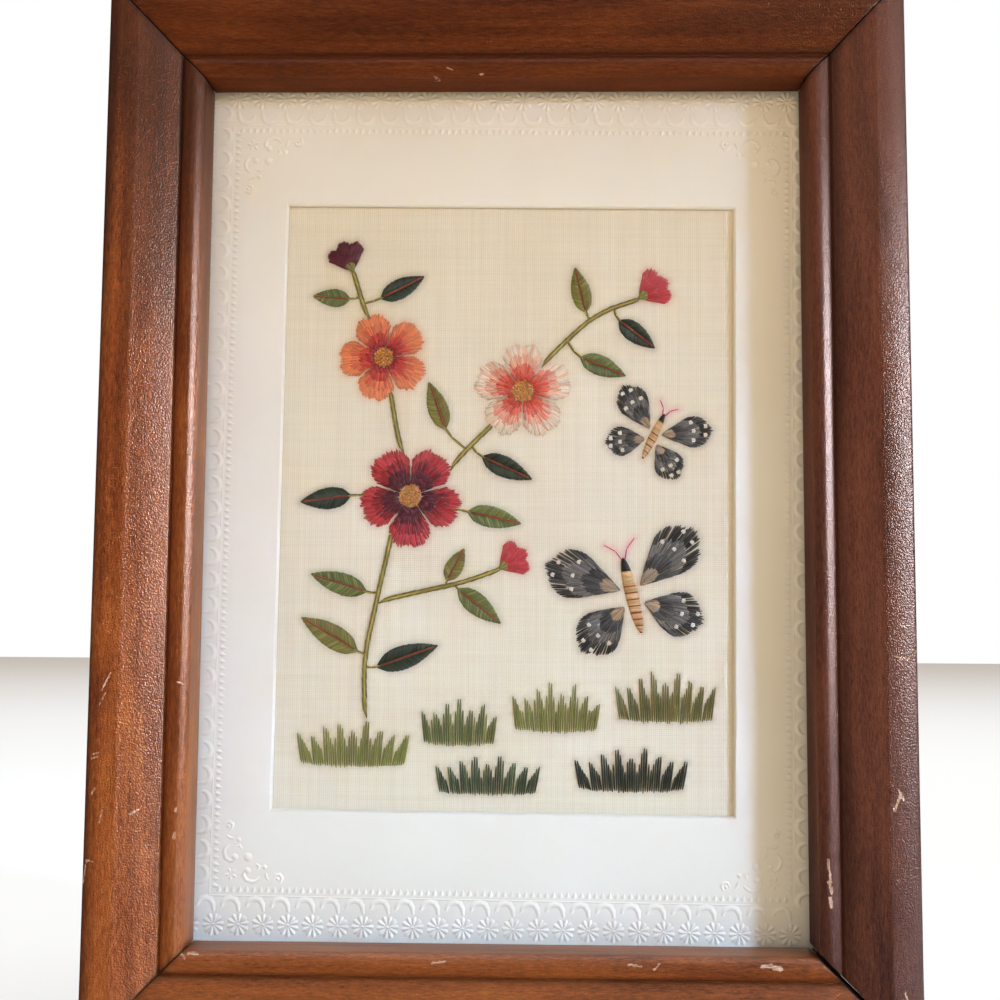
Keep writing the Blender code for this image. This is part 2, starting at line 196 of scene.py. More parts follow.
BUDS = (
    # name, x, z, length, direction in degrees, dye at the tips and below
    ("bud_crimson", 35.2, 56.8, 10, 35, "rose", "crimson"),
    ("bud_plum", -43, 63.5, 9.5, 112, "plum", "plum"),
    ("bud_rose", -1.8, -17.4, 9.2, 34, "rose", "crimson"),
)
BUD_ROWS = (
    # stitches in the row, outer end, inner end, both as shares of the reach, lift
    (30, 1.0, 0.52, 0),
    (20, 0.72, 0.22, 0.1),
)
BUD_SPREAD = radians(46)
CALYX_STITCHES = 9
CALYX_SPREAD = radians(34)
LEAVES = (
    # name, x, z, direction in degrees, length, width, colour
    ("leaf_low_left", -39.2, -40, 150, 18, 6.6, "olive"),
    ("leaf_low_right", -34.2, -44, 20, 17.5, 6.6, "deep_green"),
    ("leaf_mid_left", -37.2, -24, 163, 16, 6.2, "leaf_green"),
    ("leaf_crimson_left", -42, 2, 188, 14, 6.2, "deep_green"),
    ("leaf_crimson_right", -10.5, -2, -12, 15, 6, "leaf_green"),
    ("leaf_between_low", -6.8, 13, -24, 15, 6, "deep_green"),
    ("leaf_between_high", -16.8, 20.2, 110, 14, 5.8, "olive"),
    ("leaf_coral_right", 19.5, 40.5, -22, 13.5, 5.8, "leaf_green"),
    ("leaf_tip_left", 21, 52.8, 104, 13, 5.6, "olive"),
    ("leaf_tip_right", 30, 50.8, -38, 12.5, 5.6, "deep_green"),
    ("leaf_scarlet_right", -35.2, 56.2, 28, 13.5, 5.8, "deep_green"),
    ("leaf_scarlet_left", -43.5, 56, 176, 10.5, 5.2, "leaf_green"),
    ("leaf_branch_high", -15.8, -20.8, 62, 10, 5, "olive"),
    ("leaf_branch_low", -12.8, -22.8, -38, 15, 6, "leaf_green"),
)
MIDRIB = ((0.96, 0.62), (0.70, 0.36), (0.44, 0.06))
STEMS = (
    ("stem_main", ((-37, -56), (-37.2, -42), (-35, -29), (-32, -11.2))),
    ("stem_branch", ((-32.8, -26.2), (-24, -24), (-12, -21.2), (-3, -18))),
    ("stem_coral", ((-14.2, 10.4), (-11, 14.8), (-6.2, 19.2))),
    ("stem_scarlet", ((-29.2, 17), (-30.2, 21), (-31.2, 26.8))),
    ("stem_tip", ((12.8, 43.8), (20, 49), (27, 53.6), (33.8, 56))),
    ("stem_top", ((-39.6, 53), (-40.8, 57), (-42.4, 62.2))),
)
STEM_TUCK = 1.6
STEM_STITCH = 4.2
STEM_STEP = 0.85
PETIOLE_REACH = 9.5
BUTTERFLIES = (
    # name, x, z, reach of a wing, direction in degrees
    ("butterfly_large", 34, -24, 21.5, 104),
    ("butterfly_small", 39.5, 19, 14, 64),
)
WINGS = (
    # name, angle from the head, length, width, root along the body, swell, all but angle as shares
    ("forewing", 58, 1.00, 0.62, 0.10, 1.7),
    ("hindwing", 122, 0.78, 0.58, -0.12, 1.5),
)
WING_ROWS = (
    # outer end, inner end, both as shares of the reach, ragged by, two dyes, lift
    (1.00, 0.72, 0.05, "charcoal", "slate", 0),
    (0.80, 0.48, 0.07, "slate", "ash", 0.10),
    (0.56, 0.24, 0.06, "slate", "charcoal", 0.17),
    (0.32, 0.04, 0.04, "ash", "tan", 0.22),
)
WING_DOTS = ((0.86, 0.40), (0.84, -0.35), (0.62, 0.05), (0.58, 0.62), (0.60, -0.55))
BODY_LENGTH = 0.95
BODY_WIDTH = 0.17
WING_ROOT = 0.13
TUFTS = (
    # name, x, z, width, height, blades, colour
    ("grass_left", -40, -69, 30, 11.5, 9, "spring_green"),
    ("grass_stem", -11.8, -63, 21, 12, 7, "leaf_green"),
    ("grass_middle", 14, -59, 24, 12.5, 8, "spring_green"),
    ("grass_right", 43, -56, 27, 13, 9, "olive"),
    ("grass_low_middle", -4, -76, 28, 10, 9, "deep_green"),
    ("grass_low_right", 34, -74.5, 30, 11, 9, "black_green"),
)
BLADE_ROOT = 0.34
TUFT_SPREAD = 0.12

# Floss: how wide a strand lies and how far apart stitches are, in millimetres; its dyes, and the
# second dye that is mixed into each green
STRAND = 0.5
SATIN_PITCH = 0.36
GRASS_PITCH = 0.58
DYES = {
    "crimson": (0.43, 0.016, 0.03), "rose": (0.64, 0.06, 0.08), "plum": (0.13, 0.012, 0.035),
    "coral": (0.86, 0.19, 0.13), "blush": (0.9, 0.54, 0.41), "cream": (0.88, 0.8, 0.69),
    "scarlet": (0.68, 0.07, 0.04), "salmon": (0.82, 0.25, 0.11), "amber": (0.86, 0.33, 0.035),
    "rust": (0.34, 0.05, 0.022), "olive": (0.2, 0.175, 0.04), "gold": (0.44, 0.35, 0.08),
    "leaf_green": (0.11, 0.15, 0.05), "spring_green": (0.26, 0.29, 0.07),
    "deep_green": (0.036, 0.062, 0.036), "black_green": (0.014, 0.024, 0.018),
    "charcoal": (0.022, 0.022, 0.026), "slate": (0.105, 0.105, 0.115), "ash": (0.24, 0.235, 0.24),
    "tan": (0.56, 0.33, 0.14), "sand": (0.76, 0.52, 0.28), "magenta": (0.76, 0.02, 0.23),
    "white": (0.86, 0.84, 0.8),
}
IN_LEAVES = {"olive": "spring_green", "leaf_green": "spring_green", "deep_green": "black_green"}
IN_GRASS = {"spring_green": "olive", "leaf_green": "spring_green", "olive": "leaf_green",
            "deep_green": "leaf_green", "black_green": "deep_green"}


# Pieces


def put(name, data):
    """A new object in the scene."""
    made = bpy.data.objects.new(name, data)
    bpy.context.scene.collection.objects.link(made)
    return made


def mesh_piece(name, points, faces):
    """A piece made of points and faces."""
    mesh = bpy.data.meshes.new(name)
    mesh.from_pydata(points, [], faces)
    return put(name, mesh)


def activate(piece):
    """Selects one piece alone."""
    bpy.ops.object.select_all(action="DESELECT")
    piece.select_set(True)
    bpy.context.view_layer.objects.active = piece


@contextmanager
def edited(piece, kind="FACE", wanted=lambda item: True):
    """The piece in edit mode, with only the wanted edges or faces selected."""
    activate(piece)
    bpy.ops.object.mode_set(mode="EDIT")
    bpy.ops.mesh.select_mode(type=kind)
    bpy.ops.mesh.select_all(action="DESELECT")
    mesh = bmesh.from_edit_mesh(piece.data)
    for item in mesh.edges if kind == "EDGE" else mesh.faces:
        item.select_set(wanted(item))
    bmesh.update_edit_mesh(piece.data)
    yield
    bpy.ops.object.mode_set(mode="OBJECT")


def apply_modifier(piece, kind, **settings):
    """Adds a modifier with these settings and applies it."""
    activate(piece)
    modifier = piece.modifiers.new(kind.title(), kind)
    for key, value in settings.items():
        setattr(modifier, key, value)
    bpy.ops.object.modifier_apply(modifier=modifier.name)


def settle(piece, matrix):
    """Puts the piece in its place, with the place in its mesh."""
    piece.matrix_world = matrix
    activate(piece)
    bpy.ops.object.transform_apply(location=True, rotation=True, scale=True)
    return piece


def flat_piece(name, width, height, columns=1, rows=1):
    """A flat sheet about the origin, divided into a grid."""
    bpy.ops.object.select_all(action="DESELECT")
    bpy.ops.mesh.primitive_grid_add(x_subdivisions=columns, y_subdivisions=rows, size=1)
    sheet = bpy.context.object
    sheet.name = sheet.data.name = name
    return settle(sheet, Matrix.Diagonal((width, height, 1, 1)))


def smooth(piece, degrees):
    """Shades the piece smooth but for its sharper edges."""
    activate(piece)
    bpy.ops.object.shade_smooth_by_angle(angle=radians(degrees))


def store(piece, name, values):
    """Keeps a number, a vector or a colour for each point of the piece."""
    columns = values.shape[-1] if values.ndim > 1 else 1
    kind, field = {1: ("FLOAT", "value"), 3: ("FLOAT_VECTOR", "vector"), 4: ("FLOAT_COLOR", "color")}[columns]
    stored = piece.data.attributes.new(name, kind, "POINT")
    stored.data.foreach_set(field, values.astype(np.float32).ravel())


def cover(piece, material):
    """Gives the piece this material alone."""
    piece.data.materials.clear()
    piece.data.materials.append(material)


def dress(piece, material, slot, *nodes):
    """Gives the piece its material, and lets it stand for its solids."""
    cover(piece, material)
    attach(piece, "root")
    if nodes:
        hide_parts(*nodes)


def world_y(depth):
    """The Y of a point that lies this far forward of the frame's back plane."""
    return FRAME_DEPTH / 2 - depth


def card_matrix(depth):
    """Turns a piece that lies flat, seen from above, to face the front on the turned mat."""
    place = MAT_CENTRE + Vector((0, world_y(depth), 0))
    return Matrix.Translation(place) @ Matrix.Rotation(MAT_TURN, 4, "Y") @ Matrix.Rotation(pi / 2, 4, "X")


def ray(angle, radius):
    """The point at this angle and distance from the origin."""
    return radius * cos(angle), radius * sin(angle)


def arc(centre, radius, start, stop, steps):
    """Points round a circle from one angle to another, in degrees."""
    angles = np.radians(np.linspace(start, stop, steps + 1))
    return [(centre[0] + radius * cos(a), centre[1] + radius * sin(a)) for a in angles]


def tube(rings, sides, first=0):
    """Faces between rings of points, each ring joined to the next."""
    return [(a + j, a + (j + 1) % sides, a + sides + (j + 1) % sides, a + sides + j)
            for a in range(first, first + (rings - 1) * sides, sides) for j in range(sides)]


def scaled(colour, share):
    """The colour made darker or lighter."""
    return tuple(c * share for c in colour)


# Materials


class Shade:
    """One output of a shader node. Sums, differences and products of shades are nodes too."""

    def __init__(self, tree, socket):
        self.tree = tree
        self.socket = socket

    def other(self, output):
        """Another output of the same node."""
        return Shade(self.tree, self.socket.node.outputs[output])

    def __add__(self, second):
        return self.tree.calc("ADD", self, second)

    def __sub__(self, second):
        return self.tree.calc("SUBTRACT", self, second)

    def __rsub__(self, first):
        return self.tree.calc("SUBTRACT", first, self)

    def __mul__(self, second):
        return self.tree.calc("MULTIPLY", self, second)


class Tree:
    """The shader nodes of a material or of the room."""

    def __init__(self, owner, **constants):
        """Starts with the Principled shader, with constants on its own sockets, or else empty."""
        owner.use_nodes = True
        self.owner = owner
        self.nodes = owner.node_tree.nodes
        self.links = owner.node_tree.links
        if constants:
            self.shader = self.nodes["Principled BSDF"]
            for key, value in constants.items():
                self.feed({key.replace("_", " ").title().replace("Ior", "IOR"): value})
        else:
            self.nodes.clear()

    def feed(self, inputs, node=None):
        """Sets or links inputs of a node, or else of the Principled shader."""
        for key, value in inputs.items():
            socket = (node or self.shader).inputs[key]
            if isinstance(value, Shade):
                self.links.new(value.socket, socket)
            else:
                socket.default_value = (*value, 1) if socket.type == "RGBA" else value

    def add(self, kind, inputs, output=0, **settings):
        """A new node, given as one of its outputs."""
        made = self.nodes.new("ShaderNode" + kind)
        for key, value in settings.items():
            setattr(made, key, value)
        self.feed(inputs, made)
        return Shade(self, made.outputs[output]) if made.outputs else None

    def calc(self, operation, first, second=0.0, clamp=False):
        """A sum or another operation on numbers."""
        return self.add("Math", {0: first, 1: second}, operation=operation, use_clamp=clamp)

    def vector(self, operation, first, second, output=0):
        """An operation on vectors."""
        return self.add("VectorMath", {0: first, 1: second}, output, operation=operation)

    def blend(self, factor, first, second, kind="MIX"):
        """One colour over another."""
        return self.add("Mix", {0: factor, 6: first, 7: second}, 2, data_type="RGBA", blend_type=kind)

    def ramp(self, factor, *stops):
        """A ramp of colours, or of greys where a stop is one number."""
        made = self.add("ValToRGB", {0: factor})
        band = made.socket.node.color_ramp
        while len(band.elements) < len(stops):
            band.elements.new(0.5)
        for element, (place, colour) in zip(band.elements, stops):
            element.position = place
            element.color = (*colour, 1) if isinstance(colour, tuple) else (colour, colour, colour, 1)
        return made

    def cloud(self, place, scale=1.0, detail=3.0, distortion=0.0):
        """Uneven noise."""
        inputs = {"Vector": place, "Scale": scale, "Detail": detail, "Distortion": distortion}
        return self.add("TexNoise", inputs)

    def place(self, scale=(1, 1, 1), offset=(0, 0, 0), turn=0.0):
        """Object coordinates, stretched, moved and turned about the front's axis."""
        place = self.add("TexCoord", {}, "Object")
        inputs = {"Vector": place, "Location": offset, "Rotation": (0, turn, 0), "Scale": scale}
        return self.add("Mapping", inputs)

    def stored(self, name, output="Fac"):
        """What a piece keeps for each of its points."""
        return self.add("Attribute", {}, output, attribute_name=name)

    def finish(self, colour, height, strength, distance, *normals):
        """The material, with its colour and its bumps linked to the Principled shader."""
        bumps = self.add("Bump", {"Height": height, "Strength": strength, "Distance": distance})
        self.feed({"Base Color": colour, **dict.fromkeys(("Normal", *normals), bumps)})
        return self.owner


def new_material(name, **constants):
    """The tree of a new material."""
    return Tree(bpy.data.materials.new(name), **constants)


def scratched(wood, strokes):
    """How far a point of a rail is from the edge of its nearest scratch, in millimetres."""
    spot = wood.vector("MULTIPLY", wood.stored("place", "Vector"), (1, 1, 0))
    nearest = 100.0
    for along_1, out_1, along_2, out_2, width in strokes:
        run = Vector((along_2 - along_1, out_2 - out_1, 0))
        way = tuple(run.normalized())
        offset = wood.vector("SUBTRACT", spot, (along_1, out_1, 0))
        reach = wood.vector("DOT_PRODUCT", offset, way, "Value")
        reach = wood.add("Clamp", {"Value": reach, "Min": 0.0, "Max": run.length})
        foot = wood.add("VectorMath", {0: way, "Scale": reach}, operation="SCALE")
        nearest = wood.calc("MINIMUM", wood.vector("DISTANCE", offset, foot, "Value") - width / 2, nearest)
    return nearest


def stained_wood(side, seed, grain, gloss, painted_fade, stains_and_light):
    """Red-brown stained softwood under a semi-gloss varnish, with its grain along the rail."""
    # Each rail's highlights are tinted differently: painted highlight colour
    wood = new_material("wood_" + side, specular_ior_level=0.5, specular_tint=gloss, coat_roughness=0.12)

    def grained(across, along, detail, distortion=0.0):
        scale = [across] * 3
        scale[grain] = along
        return wood.cloud(wood.place(scale, (seed, seed * 1.7, seed * 0.6)), 1.0, detail, distortion)

    figure = grained(65, 12, 3, 1.2)
    streaks = grained(430, 12, 4, 0.5)
    fibres = grained(2600, 420, 2)
    flecks = grained(2400, 1000, 2)
    grit = grained(2700, 2400, 0)
    tone = figure * 0.42 + streaks * 0.20 + fibres * 0.38
    # Darker towards one end of the rail; on the left rail this is painted shade towards its top
    if painted_fade:
        along = wood.add("SeparateXYZ", {0: wood.place()}, grain)
        tone += wood.add("MapRange", {0: along, 1: painted_fade[0], 2: painted_fade[1], 3: -0.035, 4: 0.045})
    # The stains: lighter on the left and bottom rails as painted light, darker on the right and top as
    # painted shade
    colour = wood.ramp(tone, *zip((0.37, 0.50, 0.65), stains_and_light))
    dashes = wood.ramp(flecks, (0.33, 1.0), (0.42, 0.0))
    colour = wood.blend(dashes * 0.35, colour, scaled(stains_and_light[0], 0.5))
    pale = wood.ramp(flecks, (0.60, 0.0), (0.70, 1.0))
    colour = wood.blend(pale * 0.16, colour, scaled(stains_and_light[2], 1.5))
    # Darkening by dirt and painted shade, as kept for each point of the rail
    colour = wood.blend(wood.stored("grime_and_shade"), colour, GRIME_AND_SHADE)
    worn = scratched(wood, SCRATCHES[side]) + (grained(2300, 900, 2) - 0.5) * 1.1
    worn = wood.calc("SUBTRACT", 0.5, worn * 6.0, True)
    front = wood.add("SeparateXYZ", {0: wood.stored("place", "Vector")}, 2)
    worn *= wood.calc("GREATER_THAN", front, SCRATCHED_FROM)
    bare = wood.ramp(fibres, (0.40, (0.34, 0.19, 0.12)), (0.60, (0.60, 0.42, 0.33)))
    colour = wood.blend(worn, colour, bare)
    polish = wood.stored("polish")
    rough = 0.90 - polish * 0.54 + (fibres - 0.5) * 0.3
    rough = wood.calc("ADD", rough, worn * 0.3, True)
    wood.feed({"Coat Weight": polish * (0.45 - worn * 0.45), "Roughness": rough})
    height = flecks * 0.25 + grit * 0.75 - worn * 0.6
    return wood.finish(colour, height, wood.stored("peel"), 0.00032, "Coat Normal")


def glue_and_gap_shadow():
    """Dried brown glue, nearly black as painted shadow deep in the mitre gaps."""
    glue_and_shadow = new_material("glue_and_gap_shadow", roughness=0.6)
    crust = glue_and_shadow.cloud(glue_and_shadow.place(), 900, 4)
    colour = glue_and_shadow.ramp(crust, (0.35, (0.006, 0.004, 0.003)), (0.65, (0.030, 0.017, 0.010)))
    return glue_and_shadow.finish(colour, crust, 0.6, 0.0002)


def embossed_card():
    """Off-white card with a faint tooth, a little foxing and specks of dust."""
    card = new_material("embossed_card", roughness=0.62)
    place = card.place()
    colour = card.ramp(card.cloud(place, 17), (0.35, (0.85, 0.825, 0.795)), (0.62, (0.88, 0.865, 0.845)))
    cells = card.add("TexVoronoi", {"Vector": place, "Scale": 130, "Randomness": 1.0}, "Color")
    size = card.ramp(card.add("SeparateColor", {0: cells}), (0.80, 0.0), (1.0, 0.050))
    speck = card.calc("LESS_THAN", cells.other("Distance"), size)
    colour = card.blend(speck * 0.55, colour, (0.16, 0.09, 0.06))
    return card.finish(colour, card.cloud(place, 1700), 0.20, 0.00006)


def sheer_silk():
    """Ecru plain-weave silk: fine upright lines, uneven threads, and near each stitch a darker tint of its
    dye, floss showing through and painted shade.
    """
    silk = new_material("sheer_silk", roughness=0.55, sheen_weight=0.25, sheen_roughness=0.4)
    place = silk.place(turn=-MAT_TURN)
    across = silk.add("SeparateXYZ", {0: place})
    warp = silk.calc("SINE", across * (tau / 0.00056))
    weft = silk.calc("SINE", across.other(2) * (tau / 0.00050))
    threads = silk.cloud(silk.place((1300, 40, 22)), detail=2)
    picks = silk.cloud(silk.place((22, 40, 1200)), detail=2)
    tone = warp * 0.16 + weft * 0.11 + (threads - 0.5) * 0.50 + (picks - 0.5) * 0.40 + 0.5
    colour = silk.ramp(tone, (0.20, (0.730, 0.655, 0.530)), (0.80, (0.860, 0.815, 0.720)))
    ageing = silk.ramp(silk.cloud(place, 11, 2), (0.38, 0.0), (0.66, 0.15))
    colour = silk.blend(ageing, colour, (0.78, 0.66, 0.48))
    # A darker tint near each stitch: floss showing through the silk and painted shade
    floss_and_shade = silk.stored("floss_and_shade", "Color")
    colour = silk.blend(floss_and_shade.other("Alpha"), colour, floss_and_shade)
    return silk.finish(colour, warp * 0.5 + weft * 0.4, 0.35, 0.00005)


def silk_floss():
    """Untwisted silk floss: each stitch has its own dye, with fine filaments and a soft sheen along it."""
    floss = new_material("silk_floss", sheen_weight=0.15, sheen_roughness=0.35, specular_ior_level=0.45)
    strand = floss.stored("strand", "Vector")
    filaments = floss.cloud(floss.add("Mapping", {"Vector": strand, "Scale": (9.0, 0.35, 1.0)}))
    shade = floss.ramp(filaments, (0.30, 0.62), (0.66, 1.12))
    floss.feed({"Roughness": filaments * 0.25 + 0.30})
    colour = floss.blend(1.0, floss.stored("dye", "Color"), shade, "MULTIPLY")
    return floss.finish(colour, filaments, 0.5, 0.00005)


def clear_glass():
    """Thin float glass: it lets light straight through and mirrors a little of the room."""
    glass = new_material("float_glass")
    slant = glass.add("LayerWeight", {"Blend": 0.5}, "Facing")
    edge = glass.calc("ADD", glass.calc("POWER", slant, 5.0) * 0.90, 0.035, True)
    smear = glass.ramp(glass.cloud(glass.place(), 30, 4), (0.3, 0.015), (0.7, 0.06))
    clear = glass.add("BsdfTransparent", {"Color": (0.975, 0.985, 0.980)})
    gloss = glass.add("BsdfGlossy", {"Color": (0.9, 0.9, 0.9), "Roughness": smear})
    glass.add("OutputMaterial", {0: glass.add("MixShader", {0: edge, 1: clear, 2: gloss})})
    return glass.owner


def fibre_board():
    """Plain brown board: pressed fibres and a few darker flecks."""
    board = new_material("fibre_board", roughness=0.85)
    fibres = board.cloud(board.place((420, 420, 420)), detail=6, distortion=1.5)
    colour = board.ramp(fibres, (0.34, (0.17, 0.10, 0.055)), (0.66, (0.33, 0.21, 0.12)))
    flecks = board.ramp(board.cloud(board.place(), 1500, 2), (0.30, 0.6), (0.38, 0.0))
    colour = board.blend(flecks, colour, (0.08, 0.045, 0.025))
    return board.finish(colour, fibres, 0.35, 0.0002)


# Frame


def moulding_section():
    """The moulding's outline in millimetres: out from the sight edge, and forward from the back."""
    width, rebate_width, rebate_depth = RAIL_WIDTH * 1000, REBATE_WIDTH * 1000, REBATE_DEPTH * 1000
    section = [(0, rebate_depth), (0.1, 13.5), (0.3, 16)]
    section += arc((3.2, 18.7), 2.8, 176, 148, 5) + arc((3.2, 18.7), 2.8, 108, 72, 5)
    section += [(4.7, 21.1), (5.3, 20.8), (5.8, 20.5), (6.1, 20.2)]
    section += [(6.2, 19.7), (GROOVE_MIDDLE, 19.5), (6.8, 19.8)]
    for share in np.linspace(0, 1, 13):
        section.append((7 + 10 * share, 20.4 + 4.2 * share + 0.3 * sin(pi * share)))
    section += arc((18.8, 7.2), 17.7, 94, 69, 14) + arc((24.58, 22.58), 1.2, 62, 8, 6)
    section += [(26.2, 20.3), (26.8, 17.6), (width, 15), (width, 0.6), (width - 0.6, 0)]
    return section + [(rebate_width, 0), (rebate_width, rebate_depth)]


def moulding_blank(name, length):
    """A straight length of the moulding along Z: its section drawn flat, then drawn out."""
    curve = bpy.data.curves.new(name, "CURVE")
    curve.dimensions = "2D"
    curve.fill_mode = "BOTH"
    curve.extrude = length / 2
    outline = moulding_section()
    spline = curve.splines.new("POLY")
    spline.points.add(len(outline) - 1)
    for point, (across, forward) in zip(spline.points, outline):
        point.co = (across / 1000, world_y(forward / 1000), 0, 1)
    spline.use_cyclic_u = True
    activate(put(name, curve))
    bpy.ops.object.convert(target="MESH")
    blank = bpy.context.object
    with edited(blank, "EDGE"):
        bpy.ops.mesh.remove_doubles(threshold=0.00001)
        bpy.ops.mesh.normals_make_consistent(inside=False)
    return blank


def saw_mitres(rail, half_along, end_gaps):
    """Cuts both ends at 45 degrees through the sight corners, short by the joint's gap."""
    lower, upper = end_gaps
    for place, normal in ((half_along - upper, (-1, 0, 1)), (lower - half_along, (-1, 0, -1))):
        with edited(rail):
            bpy.ops.mesh.bisect(plane_co=(0, 0, place), plane_no=normal, use_fill=True, clear_outer=True)


def band(values, middle, width):
    """1 in the middle of a soft-edged band and 0 away from it."""
    return np.exp(-(((values - middle) / width) ** 2))


def slope(values, start, run):
    """A steady rise from 0 at its start to 1 at its end."""
    return np.clip((values - start) / run, 0, 1)


def age_rail(rail, side, half_along, direction):
    """Keeps each point's place on the moulding, its darkening by dirt and painted shade, and the state of its
    varnish.
    """
    co = np.empty(len(rail.data.vertices) * 3)
    rail.data.vertices.foreach_get("co", co)
    across, y, along = co.reshape(-1, 3).T * 1000
    forward = FRAME_DEPTH / 2 * 1000 - y
    onward = along * direction
    # Darkening: dirt along the mitres, dirt and painted shade in the groove, and darker down the outer side,
    # strongest on the left rail where it is painted shade
    grime_and_shade = 0.38 * band(across, GROOVE_MIDDLE, 1.1) * (forward > 18.5)
    grime_and_shade += 0.55 * band((half_along * 1000 + across - np.abs(along)) / sqrt(2), 0, 0.6)
    grime_and_shade += (0.65 if side == "left" else 0.30) * slope(across, 22.2, 3.5)
    # Two rails are dull on the lip and in the groove, and the side rails towards their tops
    polish = np.ones(len(across))
    if side in ("right", "top"):
        polish = np.clip((forward - 19) / 1.8, 0.05, 1)
        polish[across > SHOULDER] = 1
    if side in ("left", "right"):
        high = slope(onward, 40, 65)
        polish *= 1 - 0.75 * high
        # Painted shade towards the tops of the side rails, stronger on the left
        grime_and_shade += (0.55 if side == "left" else 0.20) * high
    if side == "left":
        # Painted shade on the left rail's bead
        grime_and_shade += 0.26 * band(across, 3.6, 1.8)
    elif side == "right":
        # Painted shade just outside the right rail's groove
        grime_and_shade += 0.40 * band(across, GROOVE_MIDDLE + 1.6, 1)
        polish -= 0.35 * (across > SHOULDER) * slope(-onward, 20, 50)
    elif side == "top":
        # The top rail is made darker towards its right end
        grime_and_shade += 0.25 * slope(onward, 45, 40)
    store(rail, "grime_and_shade", np.clip(grime_and_shade, 0, 0.85))
    store(rail, "polish", polish)
    store(rail, "peel", 0.35 + 0.22 * slope(across, GROOVE_MIDDLE, 0.5))
    store(rail, "place", np.stack([onward, across, forward], axis=-1))


def build_rail(side, half_across, half_along, turn, end_gaps, material):
    """One mitred rail, made upright on the right and then turned to its side."""
    length = 2 * (half_along + RAIL_WIDTH) + SAW_ALLOWANCE
    rail = moulding_blank("moulding_" + side, length)
    with edited(rail, "EDGE", lambda edge: abs(edge.verts[0].co.z - edge.verts[1].co.z) > length / 2):
        bpy.ops.mesh.subdivide(number_cuts=RAIL_CUTS)
    saw_mitres(rail, half_along, end_gaps)
    apply_modifier(rail, "BEVEL", width=RAIL_BEVEL, segments=2, limit_method="ANGLE",
                   angle_limit=radians(SHARP_ANGLE))
    age_rail(rail, side, half_along, 1 if side in ("right", "bottom") else -1)
    outward = Matrix.Rotation(radians(turn), 3, "Y") @ Vector((half_across, 0, 0))
    settle(rail, Matrix.Translation(PICTURE_CENTRE + outward) @ Matrix.Rotation(radians(turn), 4, "Y"))
    smooth(rail, SHARP_ANGLE)
    dress(rail, material, "stained_wood", "rail_" + side)


def build_glue(name, sx, sz, gap, shift, material):
    """The glue line deep in one mitre joint, with a ragged front edge; nearly black, it is painted shadow in
    the gap.
    """
    inner, outer, back, front = 0.0003, 0.0255, 0.0112, 0.0160
    glue_and_shadow = flat_piece(name, (outer - inner) * sqrt(2), front - back, 30, 5)
    for vertex in glue_and_shadow.data.vertices:
        if vertex.co.y > 0:
            vertex.co.y += 0.0006 * noise.noise((vertex.co.x * 400, sx * 3.1, sz * 5.7))
    apply_modifier(glue_and_shadow, "SOLIDIFY", thickness=gap, offset=0)
    along = Vector((sx, 0, sz)).normalized()
    deep = Vector((0, -1, 0))
    normal = along.cross(deep)
    middle = PICTURE_CENTRE + Vector((sx * SIGHT_WIDTH / 2, 0, sz * SIGHT_HEIGHT / 2))
    middle.y += world_y((back + front) / 2)
    middle += along * (inner + outer) / 2 * sqrt(2) + normal * shift * (1 if normal.z > 0 else -1)
    settle(glue_and_shadow, Matrix.Translation(middle) @ Matrix((along, deep, normal)).transposed().to_4x4())
    dress(glue_and_shadow, material, "stained_wood")


def build_frame():
    """The four rails and the glue in their mitres, of which the lower right one stands open. The glue is
    nearly black as painted shadow in the gaps.
    """
    halves = (SIGHT_WIDTH / 2, SIGHT_HEIGHT / 2)
    share = MITRE_GAP / 2 * sqrt(2)
    opened = share + (OPEN_MITRE_GAP - MITRE_GAP) * sqrt(2)
    for side, (turn, *look) in RAILS.items():
        half_across, half_along = halves if side in ("left", "right") else halves[::-1]
        end_gaps = (opened if side == "right" else share, share)
        build_rail(side, half_across, half_along, turn, end_gaps, stained_wood(side, *look))
    glue_and_shadow = glue_and_gap_shadow()
    for name, sx, sz in (("glue_shadow_top_left", -1, 1), ("glue_shadow_top_right", 1, 1), ("glue_shadow_low_left", -1, -1)):
        build_glue(name, sx, sz, MITRE_GAP * 0.6, 0, glue_and_shadow)
    build_glue("glue_shadow_low_right", 1, -1, OPEN_MITRE_GAP * 0.65, (OPEN_MITRE_GAP - MITRE_GAP) / 2, glue_and_shadow)


# Mat card with its embossed border


